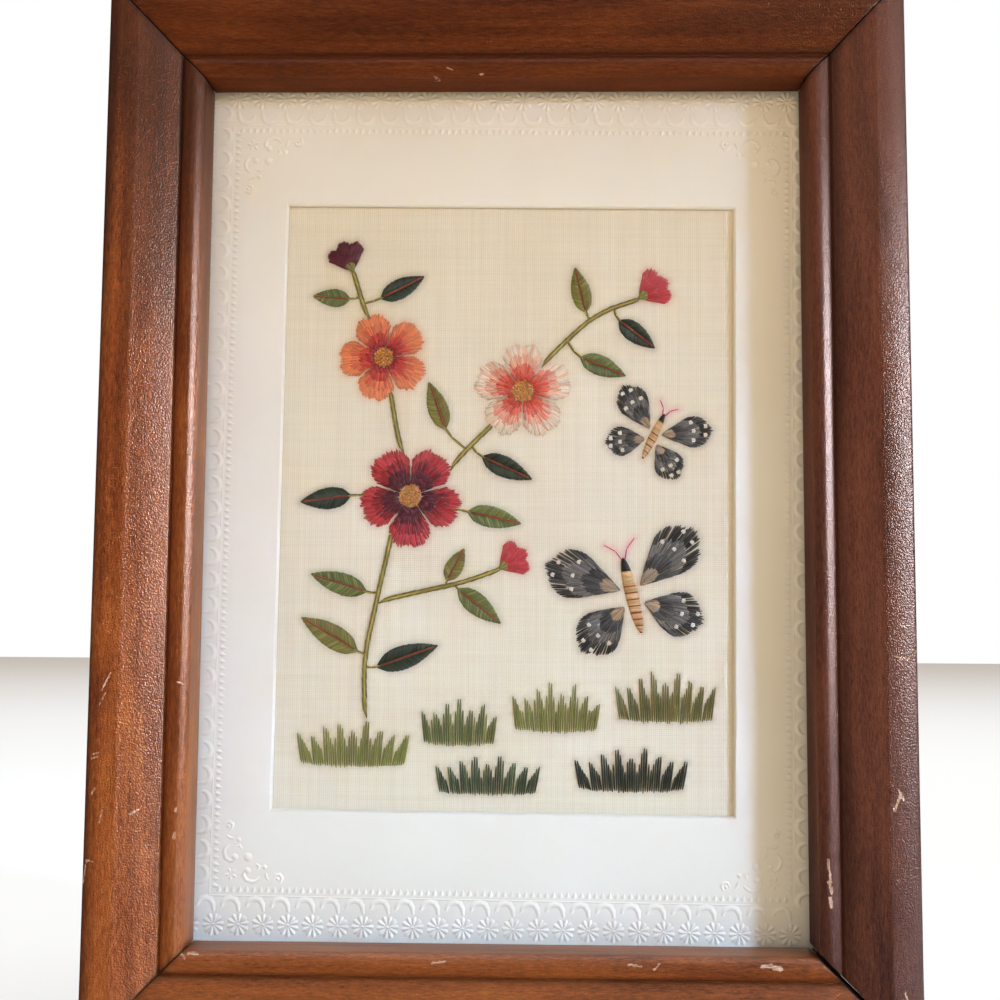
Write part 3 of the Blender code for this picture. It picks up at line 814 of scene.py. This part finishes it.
class Relief:
    """Low ridges raised on the card, gathered in millimetres into one mesh."""

    across = (-1.0, -0.70, -0.36, 0.0, 0.36, 0.70, 1.0)
    rise = (0.0, 0.26, 0.80, 1.0, 0.80, 0.26, 0.0)
    dome_sides = 12
    dome_rings = ((1.0, 0.0), (0.80, 0.42), (0.45, 0.86))

    def __init__(self):
        self.points = []
        self.faces = []

    def ridge(self, route, halves, height=EMBOSS_HEIGHT):
        """A ridge along a route, with its half width at each point."""
        first, last, columns = len(self.points), len(route) - 1, len(self.across)
        for i, ((x, y), half) in enumerate(zip(route, halves)):
            ahead, floss_and_shade = route[min(i + 1, last)], route[max(i - 1, 0)]
            dx, dy = ahead[0] - floss_and_shade[0], ahead[1] - floss_and_shade[1]
            length = hypot(dx, dy) or 1
            for side, up in zip(self.across, self.rise):
                lift = EMBOSS_LIFT + height * up * (half / max(halves)) ** 0.6
                self.points.append((x - dy / length * side * half, y + dx / length * side * half, lift))
        for start in range(first, first + last * columns, columns):
            for a in range(start, start + columns - 1):
                self.faces.append((a, a + columns, a + columns + 1, a + 1))

    def dome(self, centre, radius, height=EMBOSS_HEIGHT):
        """A round boss."""
        first, sides = len(self.points), self.dome_sides
        for share, up in self.dome_rings:
            for k in range(sides):
                x, y = ray(tau * k / sides, radius * share)
                self.points.append((centre[0] + x, centre[1] + y, EMBOSS_LIFT + height * up))
        self.points.append((*centre, EMBOSS_LIFT + height))
        self.faces += tube(len(self.dome_rings), sides, first)
        top, inmost = first + 3 * sides, first + 2 * sides
        self.faces += [(inmost + k, inmost + (k + 1) % sides, top) for k in range(sides)]


# One hook of the border: along in shares of the daisies' pitch and out from the row of drops; half widths
HOOK = ((-0.68, 4.4), (-0.63, 3.3), (-0.5, 2.5), (-0.32, 2.2), (-0.14, 2.6), (-0.03, 3.8), (0.01, 5.6))
HOOK_HALVES = (0.45, 0.74, 0.92, 0.98, 0.94, 0.78, 0.45)


def emboss_daisy(relief, centre, turn):
    """A round daisy: petals about a small eye."""
    x, y = centre
    for k in range(DAISY_PETALS):
        c, s = ray(tau * k / DAISY_PETALS + turn, 1)
        relief.ridge([(x + c * r, y + s * r) for r in (0.9, 1.7, 2.5, 2.9)], (0.25, 0.56, 0.70, 0.36))
    relief.ridge([(x - 0.45, y), (x, y), (x + 0.45, y)], (0.12, 0.45, 0.12), EMBOSS_HEIGHT * 0.7)


def emboss_side(relief, half_long, half_out, place, phase=0.0):
    """One side's drops, fine line, hooks and daisies. place puts what is along it and out on the card."""
    count = round(2 * half_long / DROP_PITCH)
    for i in range(count):
        along = -half_long + 2 * half_long * (i + 0.5) / count
        drop = [place(along + slant, half_out + out) for slant, out in ((-0.18, 0.7), (0, 0.2), (0.18, -0.9))]
        relief.ridge(drop, (0.45, 0.78, 0.10), EMBOSS_HEIGHT * 0.9)
    line = [place(end * (half_long + LINE_OUT), half_out + LINE_OUT) for end in (-1, 1)]
    relief.ridge(line, (0.28, 0.28), 0.10)
    centre = half_long + DAISY_END
    count = round(2 * centre / DAISY_PITCH)
    pitch = 2 * centre / count
    for i in range(count + 1):
        along = -centre + i * pitch
        if abs(along) < half_long + HOOK_END:
            relief.ridge([place(along + (a + phase) * pitch, half_out + out) for a, out in HOOK], HOOK_HALVES)
        if i < count:
            emboss_daisy(relief, place(along, half_out + DAISY_OUT), 7 * i)


# A flourish in each corner of the border, measured from the corner of the row of drops. Its scrolls, with
# their half widths, and its round bosses are on both arms; a small flower stands between them
SCROLLS = (
    (((3.3, 11.8), (2.3, 10.8), (2, 9.6), (2.5, 8.1), (3.7, 7.3), (4.6, 7.6)),
     (0.3, 0.5, 0.62, 0.66, 0.6, 0.45)),
    (((5.2, 11), (6.1, 11.5), (6.6, 10.6)), (0.3, 0.55, 0.35)),
    (((2.6, 14), (3.3, 13.4), (4.4, 13.2)), (0.3, 0.52, 0.3)),
    (((3, 15.4), (4, 15.9), (4.1, 16.9), (3.2, 17.6), (2.1, 17.1)), (0.3, 0.48, 0.56, 0.56, 0.4)),
)
BOSSES = ((4.9, 8.4, 0.90), (5.9, 12.9, 0.66), (2.9, 16.4, 0.50))
MIDDLE_BOSS = (8.4, 8.4, 1.20)
FLOWER_MIDDLE = 4.0
FLOWER_PETALS = 5
FLOWER_REACHES = (0.5, 1.1, 1.7)
FLOWER_HALVES = (0.15, 0.50, 0.15)


def emboss_corner(relief, sx, sy):
    """A flourish that grows inward from one corner, the same on both arms."""

    def place(a, b):
        return sx * (a - DROP_ROW[0]), sy * (b - DROP_ROW[1])

    for order in (1, -1):
        for points, halves in SCROLLS:
            relief.ridge([place(*p[::order]) for p in points], halves)
        for *spot, radius in BOSSES:
            relief.dome(place(*spot[::order]), radius)
    relief.dome(place(*MIDDLE_BOSS[:2]), MIDDLE_BOSS[2], EMBOSS_HEIGHT * 1.2)
    for k in range(FLOWER_PETALS):
        reaches = [ray(radians(45) + tau * k / FLOWER_PETALS, r) for r in FLOWER_REACHES]
        petal = [place(FLOWER_MIDDLE + x, FLOWER_MIDDLE + y) for x, y in reaches]
        relief.ridge(petal, FLOWER_HALVES, EMBOSS_HEIGHT * 0.7)


def emboss_card():
    """The whole border, as seen from the front."""
    relief = Relief()
    half_x, half_y = DROP_ROW
    for s in (1, -1):
        emboss_side(relief, half_x, half_y, lambda along, out: (s * along, -s * out))
    for s in (-1, 1):
        emboss_side(relief, half_y, half_x, lambda along, out: (s * out, s * along), 0.33 * s)
    for sx in (1, -1):
        for sy in (1, -1):
            emboss_corner(relief, sx, sy)
    return mesh_piece("embossing", np.array(relief.points) / 1000, relief.faces)


def build_mat():
    """The card: its outline, its window cut out and bevelled, and the border raised on its face."""
    card = flat_piece("mat_embossed", *MAT_SIZE)
    half_x, half_y = WINDOW_SIZE[0] / 2, WINDOW_SIZE[1] / 2
    for x, y in ((half_x, 0), (-half_x, 0), (0, half_y), (0, -half_y)):
        with edited(card):
            bpy.ops.mesh.bisect(plane_co=(x, y, 0), plane_no=(1, 0, 0) if x else (0, 1, 0))
    with edited(card, "FACE", lambda face: face.calc_center_median().length < 0.001):
        bpy.ops.mesh.delete(type="FACE")
    apply_modifier(card, "SOLIDIFY", thickness=MAT_THICKNESS, offset=-1)

    def round_window(edge):
        near = 0.0001
        return all(abs(x) < half_x + near and abs(y) < half_y + near and abs(z) < near
                   for x, y, z in (v.co for v in edge.verts))

    with edited(card, "EDGE", round_window):
        bpy.ops.mesh.bevel(offset=WINDOW_BEVEL, segments=1, affect="EDGES")
    border = emboss_card()
    smooth(border, 60)
    activate(card)
    border.select_set(True)
    bpy.ops.object.join()
    settle(card, card_matrix(MAT_FRONT))
    dress(card, embossed_card(), "embossed_card", "mat_card")


# Needlework

rng = random.Random(41)


def stray(most):
    """A small step to either side."""
    return rng.uniform(-most, most)


def dyed(colour, spread=0.14):
    """A dye as one length of floss takes it, a little lighter or darker."""
    lightness = 1 + stray(spread)
    return tuple(min(1.0, c * lightness * (1 + stray(0.04))) for c in DYES[colour])


def between(first, second, share):
    """A dye part of the way from one to another."""
    share = min(1, max(0, share))
    return tuple(a + (b - a) * share for a, b in zip(dyed(first), dyed(second)))


def stitch(start, end, colour, width=1.0, lift=0.0):
    """One straight stitch, from where the needle comes up to where it goes down, its width in strands."""
    return (*start, *end, STRAND * width * rng.uniform(0.86, 1.14), lift, *colour)


def placed(work, x, z, degrees=0):
    """Stitches worked about the origin, turned and moved to their place."""
    c, s = ray(radians(degrees), 1)
    out = []
    for x0, z0, x1, z1, *rest in work:
        start = (x + x0 * c - z0 * s, z + x0 * s + z0 * c)
        out.append((*start, x + x1 * c - z1 * s, z + x1 * s + z1 * c, *rest))
    return out


def blossom_reach(angle, radius):
    """How far the blossom's outline is from its middle: petals with dented tips."""
    petal = abs(cos(PETALS / 2 * angle)) ** 0.55
    from_tip = (angle + pi / PETALS) % (tau / PETALS) - pi / PETALS
    dent = 0.07 * exp(-((from_tip / 0.14) ** 2))
    return radius * (0.56 + 0.44 * petal - dent)


def work_petals(radius, dyes):
    """Long-and-short stitches in rows from the petals' tips to the eye."""
    eye = radius * KNOT_SHARE + KNOT_GAP
    for petal in range(PETALS):
        axis = tau / PETALS * petal
        for row, (count, outer, inner, ragged, lift) in enumerate(PETAL_ROWS):
            for i in range(count):
                swing = (2 * (i + 0.5 + stray(0.25)) / count - 1) * PETAL_SPREAD
                reach = blossom_reach(axis + swing, radius)
                start = ray(axis + swing, reach * (outer - rng.uniform(0, ragged)))
                end = ray(axis + swing * 0.90, max(eye - 0.6, reach * (inner + stray(ragged))))
                mixed = between(dyes[row], dyes[min(row + 1, 3)], rng.random() ** 2)
                edge = 1 - 0.25 * (abs(swing) / PETAL_SPREAD) ** 6
                yield stitch(start, end, scaled(mixed, edge), 1.1, lift + rng.uniform(0, 0.08))


def work_knots(radius):
    """Knots packed from the middle out."""
    for i in range(KNOTS):
        x, z = ray(GOLDEN_TURN * i, (radius * KNOT_SHARE - 0.25) * sqrt((i + 0.3) / KNOTS))
        dx, dz = ray(rng.uniform(0, pi), 0.42)
        colour = between("amber", "gold" if i % 4 else "rust", rng.uniform(0, 0.35))
        yield stitch((x - dx, z - dz), (x + dx, z + dz), colour, 1.35, 0.45 + rng.uniform(0, 0.15))


def work_bud(length, outer, inner):
    """Petal tips that open from a calyx."""
    for count, far_share, near_share, lift in BUD_ROWS:
        for i in range(count):
            side = 2 * (i + 0.5) / count - 1
            reach = length * (0.84 + 0.16 * abs(cos(1.5 * pi * side)) ** 0.7) * (1 - 0.12 * side**2)
            far = reach * (far_share - rng.uniform(0, 0.06))
            near = reach * (near_share + stray(0.06))
            colour = between(outer, inner, 1 - far_share + rng.random() * 0.5)
            yield stitch(ray(side * BUD_SPREAD, far), ray(side * BUD_SPREAD * 0.92, near), colour, 1.05, lift)
    for i in range(CALYX_STITCHES):
        side = 2 * i / (CALYX_STITCHES - 1) - 1
        far = length * (0.34 - 0.05 * abs(side) + stray(0.02))
        dye = dyed("olive" if i % 3 else "spring_green")
        yield stitch(ray(side * CALYX_SPREAD, far), (0, 0), dye, lift=0.25)


def lobe_half(share, width, swell):
    """Half the width of a leaf or wing, at a share of its length."""
    return width / 2 * sin(pi * min(1, max(0, share)) ** swell) ** 0.8


def work_leaf(length, width, colour):
    """Satin stitches slanted from the midrib to both edges, and the midrib in rust over them."""
    count = round(length / SATIN_PITCH)
    for side in (1, -1):
        for i in range(count):
            share = (i + 0.5) / count
            tip_share = min(0.995, share + 0.16 * (1 - share))
            half = lobe_half(tip_share, width, 0.8)
            end = (length * tip_share, side * (half - rng.uniform(0, 0.18)))
            mixed = between(colour, IN_LEAVES[colour], rng.random() ** 3 + (0.12 if side > 0 else 0))
            yield stitch((length * share * 0.97, side * 0.08), end, mixed, 0.95, rng.uniform(0, 0.06))
    for far, near in MIDRIB:
        yield stitch((length * far, stray(0.1)), (length * near, 0), dyed("rust"), 0.95, 0.26)


def smooth_route(points, steps=24):
    """Points along a smooth curve through the given ones."""
    knots = [Vector(p) for p in points]
    knots = [2 * knots[0] - knots[1]] + knots + [2 * knots[-1] - knots[-2]]
    route = []
    for a, b, c, d in zip(knots, knots[1:], knots[2:], knots[3:]):
        for t in (i / steps for i in range(steps)):
            bend = (2 * a - 5 * b + 4 * c - d) * t**2 + (3 * b - a - 3 * c + d) * t**3
            route.append((2 * b + (c - a) * t + bend) / 2)
    return route + [knots[-2]]


def tucked(end, before):
    """The end of a stem, led on to the blossom it touches, or a little way under what it carries."""
    for _, x, z, radius, turn, _ in BLOSSOMS:
        offset = end - Vector((x, z))
        if offset.length < radius * 1.35:
            reach = blossom_reach(atan2(offset.y, offset.x) - radians(turn), radius)
            return Vector((x, z)) + offset.normalized() * (reach - 1)
    return end + (end - before).normalized() * STEM_TUCK


def work_stem(points):
    """Stem stitches that overlap into a rope."""
    first, *_, last = points = [Vector(p) for p in points]
    points[0], points[-1] = tucked(first, points[1]), tucked(last, points[-2])
    route = smooth_route(points)
    run = [0.0]
    for a, b in zip(route, route[1:]):
        run.append(run[-1] + (b - a).length)

    def spot(place):
        return [np.interp(place, run, [p[k] for p in route]) for k in (0, 1)]

    at, step = 0.0, 0
    while at < run[-1] - 1.2:
        ends = []
        for place, offset in ((at, -1), (min(at + STEM_STITCH, run[-1]), 1)):
            (x, z), (x2, z2), (x1, z1) = spot(place), spot(place + 0.3), spot(place - 0.3)
            length = hypot(x2 - x1, z2 - z1) or 1
            shift = (step % 3 - 1) * 0.34 + offset * 0.16
            ends.append((x - (z2 - z1) / length * shift, z + (x2 - x1) / length * shift))
        colour = dyed(("olive", "gold", "olive")[step % 3], 0.2)
        yield stitch(*ends, colour, 1.1, 0.1 + 0.12 * (step % 3 == 1))
        at += STEM_STEP
        step += 1


def work_petiole(x, z, direction):
    """Two fine stitches from a leaf's base back to the nearest stem or blossom."""
    base = Vector((x, z))
    back = base - Vector(ray(radians(direction), 1.4))
    ends = [p for _, points in STEMS for p in smooth_route(points)]
    for _, *middle, radius, _, _ in BLOSSOMS:
        away = Vector(middle) - base
        ends.append(base + away * (1 - radius * 0.8 / away.length))
    end = min(ends, key=lambda p: (p - base).length)
    if (end - base).length > PETIOLE_REACH:
        end = back
    middle = (back + (base + end) / 2) / 2
    tip = base + Vector(ray(radians(direction), 0.7))
    for side, dye in ((-1, "gold"), (1, "olive")):
        shift = (end - base).orthogonal().normalized() * 0.14 * side
        for start, stop in ((tip, middle), (middle, end)):
            yield stitch(start + shift, stop + shift, dyed(dye, 0.2), 0.85, 0.04)


def work_wing(length, width, swell):
    """Rows that fan out from the wing's root, dark at the margin, with white dots over them."""
    edge = []
    for share in ((1 - cos(pi * i / 60)) / 2 for i in range(1, 60)):
        half = lobe_half(share, width, swell)
        edge += [(length * share, half), (length * share, -half)]
    edge.sort(key=lambda p: atan2(p[1], p[0]))
    for far, near, ragged, first, second, lift in WING_ROWS:
        last = None
        for x, z in edge:
            start = (x * (far - rng.uniform(0, ragged)), z * (far - rng.uniform(0, ragged)))
            if hypot(x, z) < length * 0.34 or (last and dist(last, start) < STRAND * 0.82):
                continue
            last = start
            back = near + stray(ragged)
            yield stitch(start, (x * back, z * back), between(first, second, rng.random() ** 1.5), lift=lift)
    for share, place in WING_DOTS:
        x, z = length * share, lobe_half(share, width, swell) * place
        for k in (-1, 0, 1):
            start, end = (x - 0.65, z + k * 0.34), (x + 0.65 - abs(k) * 0.2, z + k * 0.34)
            yield stitch(start, end, dyed("white", 0.05), 0.9, 0.36)


def work_body(reach):
    """Bands of tan across the body, a dark head, and two feelers."""
    half_long, half_wide = reach * BODY_LENGTH / 2, reach * BODY_WIDTH / 2
    count = round(2 * half_long / SATIN_PITCH)
    for i in range(count):
        share = 2 * (i + 0.5) / count - 1
        x, half = half_long * share, half_wide * sqrt(max(0, 1 - share**2))
        colour = dyed("charcoal") if share > 0.66 else between("tan", "sand", rng.random())
        if share < 0.3 and i % 5 == 0:
            colour = dyed("rust")
        yield stitch((x - 0.2, -half), (x + 0.2, half), colour, 0.95, 0.3)
    for side in (1, -1):
        bend = (half_long * 1.22, side * reach * 0.07)
        yield stitch((half_long * 0.92, side * 0.3), bend, dyed("magenta"), 0.6, 0.2)
        yield stitch(bend, (half_long * 1.46, side * reach * 0.20), dyed("magenta"), 0.6, 0.2)


def work_tuft(width, height, blades, colour):
    """Upright stitches side by side: each blade is tall, and they are short in between."""
    outline = [(-width / 2, 0.0)]
    half_blade = width / blades / 2
    for i in range(blades):
        share = (i + 0.5) / blades * 2 - 1
        fall = 1 - 0.45 * share**2
        x = width / 2 * share
        tip = height * (0.86 + 0.14 * cos(2.4 * i)) * fall
        lean = x * TUFT_SPREAD
        outline += [(x + lean - half_blade * 0.35, tip), (x + lean + half_blade * 0.35, tip * 0.97)]
        if i < blades - 1:
            outline.append((x + half_blade, height * BLADE_ROOT * fall))
    outline.append((width / 2, 0.0))
    count = round(width / GRASS_PITCH)
    for i in range(count):
        share = 2 * (i + 0.5) / count - 1
        foot = width / 2 * share
        top = foot * (1 + TUFT_SPREAD * 0.8)
        high = np.interp(top, *zip(*outline)) * rng.uniform(0.93, 1.0)
        low = -height * 0.16 * sqrt(max(0, 1 - share**2)) * rng.uniform(0.6, 1.0)
        if high - low > 1.2:
            mixed = between(colour, IN_GRASS[colour], rng.random() ** 2)
            yield stitch((top, high), (foot, low), mixed, 1.05, rng.uniform(0, 0.1))


def work_picture():
    """Every worked motif: its name, its stitches and its floss."""
    for name, x, z, radius, turn, dyes in BLOSSOMS:
        yield name, placed(work_petals(radius, dyes), x, z, turn), "floss_" + name.split("_")[1]
        yield name + "_knots", placed(work_knots(radius), x, z), "floss_amber"
    for name, x, z, length, direction, outer, inner in BUDS:
        yield name, placed(work_bud(length, outer, inner), x, z, direction), "floss_" + inner
    for name, x, z, direction, length, width, colour in LEAVES:
        leaf = placed(work_leaf(length, width, colour), x, z, direction)
        yield name, leaf + list(work_petiole(x, z, direction)), "floss_" + colour
    for name, points in STEMS:
        yield name, list(work_stem(points)), "floss_olive"
    for name, x, z, reach, direction in BUTTERFLIES:
        yield name + "_body", placed(work_body(reach), x, z, direction), "floss_tan"
        for side, sign in (("left", 1), ("right", -1)):
            for wing, angle, length, width, root, swell in WINGS:
                work = work_wing(reach * length, reach * width, swell)
                work = placed(work, reach * root, sign * reach * WING_ROOT, sign * angle)
                yield f"{name}_{wing}_{side}", placed(work, x, z, direction), "floss_slate"
    for name, x, z, width, height, blades, colour in TUFTS:
        yield name, placed(work_tuft(width, height, blades, colour), x, z), "floss_" + colour


def on_mat(x, z, depth):
    """World points for places on the turned mat, as arrays."""
    c, s = ray(MAT_TURN, 1)
    return np.stack([MAT_CENTRE.x + x * c + z * s, world_y(depth), MAT_CENTRE.z - x * s + z * c], axis=-1)


# One stitch: where its rings are along it, how wide they are, and how high they stand
RING_AT = np.array([0.0, 0.14, 0.5, 0.86, 1.0])
RING_WIDTH = np.array([0.42, 0.88, 1.0, 0.88, 0.42])
RING_RISE = np.array([-0.15, 0.80, 1.0, 0.80, -0.15])
RING_SIDES = 6
STRAND_FLATNESS = 0.62
FILAMENT_SHIFT = 7.31


def sew(name, work):
    """One mesh of all the stitches in a motif, with each one's dye and the run of its filaments."""
    data = np.array(work)
    data[:, :6] /= 1000  # all but the dye, into metres
    start, end, width, lift, dye = data[:, 0:2], data[:, 2:4], data[:, 4], data[:, 5], data[:, 6:9]
    run = end - start
    length = np.linalg.norm(run, axis=1)
    along = run / length[:, None]
    side = np.stack([-along[:, 1], along[:, 0]], axis=1)
    turn = np.arange(RING_SIDES) * tau / RING_SIDES
    out, up = np.cos(turn), np.sin(turn)
    half = width[:, None, None] / 2 * RING_WIDTH[None, :, None]
    centre = start[:, None, :] + run[:, None, :] * RING_AT[None, :, None]
    flat = centre[:, :, None, :] + side[:, None, None, :] * (half * out)[:, :, :, None]
    thick = width * STRAND_FLATNESS / 2
    rise = (lift + thick)[:, None, None] * RING_RISE[None, :, None]
    depth = SILK_FRONT + rise + half * STRAND_FLATNESS * up
    points = on_mat(flat[..., 0], flat[..., 1], depth).reshape(-1, 3)
    count, rings = len(data), len(RING_AT)
    each = rings * RING_SIDES
    faces = tube(rings, RING_SIDES)
    faces += [tuple(reversed(range(RING_SIDES))), tuple(range(each - RING_SIDES, each))]
    every = [tuple(first + v for v in face) for first in range(0, count * each, each) for face in faces]
    piece = mesh_piece("worked_" + name, points.tolist(), every)
    piece.data.polygons.foreach_set("use_smooth", [True] * len(every))
    colours = np.ones((count, each, 4))
    colours[:, :, :3] = dye[:, None, :]
    store(piece, "dye", colours)
    strand = np.zeros((count, rings, RING_SIDES, 3))
    strand[..., 0] = half * out * 1000
    strand[..., 1] = (length[:, None] * RING_AT[None, :] * 1000)[:, :, None]
    strand[..., 2] = (np.arange(count) * FILAMENT_SHIFT)[:, None, None]
    store(piece, "strand", strand)
    return piece


def build_silk(done):
    """The silk, stretched at the back of the window, a little puckered about the stitches, and tinted near
    each stitch: floss showing through and painted shade.
    """
    width, height = (side + 2 * SILK_MARGIN for side in WINDOW_SIZE)
    silk = flat_piece("silk_stretched", width, height, 130, 168)
    shares = (0.05, 0.5, 0.95)
    spots = [(x0 + (x1 - x0) * share, z0 + (z1 - z0) * share, 0, dye)
             for _, work, _ in done for x0, z0, x1, z1, _, _, *dye in work for share in shares]
    tree = kdtree.KDTree(len(spots))
    for i, (*spot, _) in enumerate(spots):
        tree.insert(Vector(spot) / 1000, i)
    tree.balance()
    floss_and_shade = np.zeros((len(silk.data.vertices), 4))
    for i, vertex in enumerate(silk.data.vertices):
        x, z = vertex.co.x, vertex.co.y
        _, found, distance = tree.find((x, z, 0))
        near = exp(-((distance / 0.0010) ** 2))
        pull = exp(-((distance / 0.0050) ** 2))
        slack = noise.noise((x * 90, z * 90, 0.5)) * 0.00003
        pucker = noise.noise((x * 260, z * 260, 3.5)) * 0.00008 * pull
        vertex.co.z = slack + pucker - 0.00005 * near
        # A darker tint of the nearest stitch's dye, strongest near it: floss showing through and painted
        # shade
        floss_and_shade[i] = [c * 0.7 + 0.08 for c in spots[found][3]] + [0.34 * near]
    store(silk, "floss_and_shade", floss_and_shade)
    apply_modifier(silk, "SOLIDIFY", thickness=SILK_THICKNESS, offset=-1)
    settle(silk, card_matrix(SILK_FRONT))
    smooth(silk, 40)
    dress(silk, sheer_silk(), "ecru_silk", "silk_ground")


def build_needlework():
    """The silk and all that is worked on it."""
    floss = silk_floss()
    done = list(work_picture())
    build_silk(done)
    for name, work, slot in done:
        dress(sew(name, work), floss, slot, name)


# Studio


def build_floor():
    """A pale floor, which is neither mirrored nor lights the object."""
    bpy.ops.object.select_all(action="DESELECT")
    bpy.ops.mesh.primitive_plane_add(size=FLOOR_SIZE)
    floor = bpy.context.object
    floor.name = "floor"
    paper = new_material("floor_paper", roughness=0.9)
    mottle = paper.cloud(paper.place(), 3, 2)
    paper.feed({"Base Color": paper.ramp(mottle, (0.3, (0.925, 0.935, 0.965)), (0.7, (0.935, 0.945, 0.975)))})
    cover(floor, paper.owner)
    floor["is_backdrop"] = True
    floor.visible_glossy = False
    floor.visible_diffuse = False


def build_lamps():
    """The lamps of the table. The one called window makes only highlights."""
    for name, place, target, size, power, colour, spread, left_out in LAMPS:
        lamp = bpy.data.lights.new(name, "AREA")
        lamp.shape = "RECTANGLE"
        lamp.size, lamp.size_y = size
        lamp.energy = power
        lamp.color = colour
        lamp.spread = radians(spread)
        made = put(name, lamp)
        made.location = place
        made.rotation_euler = (Vector(target) - Vector(place)).to_track_quat("-Z", "Y").to_euler()
        if left_out:
            setattr(made, "visible_" + left_out, False)


def build_room():
    """A warm room with a floor's glow below. It is dim where it is mirrored, and white to the camera."""
    world = bpy.data.worlds.new("room")
    bpy.context.scene.world = world
    room = Tree(world)

    def glow(colour):
        return room.add("Background", {"Color": colour, "Strength": 1.0})

    across = room.add("SeparateXYZ", {0: room.add("TexCoord", {}, "Generated")})
    up = across.other(2)
    lit = room.blend(room.calc("ADD", up * 4.0, 0.5, True), FLOOR_GLOW, scaled(ROOM_COLOUR, ROOM_LIGHT))
    window = room.ramp(across, (0.62, 0.0), (0.74, 1.0))
    window *= room.ramp(room.calc("ABSOLUTE", up), (0.22, 1.0), (0.32, 0.0))
    mirrored = room.blend(window, MIRRORED_ROOM, scaled(MIRRORED_WINDOW, WINDOW_GLOW))
    path = room.add("LightPath", {}, "Is Glossy Ray")
    mixed = room.add("MixShader", {0: path, 1: glow(lit), 2: glow(mirrored)})
    mixed = room.add("MixShader", {0: path.other("Is Camera Ray"), 1: mixed, 2: glow((1, 1, 1))})
    room.add("OutputWorld", {0: mixed})
    bpy.context.scene.view_settings.view_transform = "Standard"


def build_camera():
    """The camera that the picture is taken with."""
    lens = bpy.data.cameras.new("camera")
    lens.lens = CAMERA_LENS
    lens.sensor_width = CAMERA_SENSOR
    lens.clip_start = 0.01
    camera = put("camera", lens)
    camera.location = CAMERA_PLACE
    camera.rotation_euler = [radians(a) for a in CAMERA_ANGLES]
    bpy.context.scene.camera = camera


build_camera()
build_floor()
build_lamps()
build_room()
build_frame()
build_mat()
build_needlework()
cover(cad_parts["glass"], clear_glass())
cover(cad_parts["backing_board"], fibre_board())
({name: [list(corner) for corner in bounds]
           for name, bounds in (("cad", cad_bounds), ("visual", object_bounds()))})
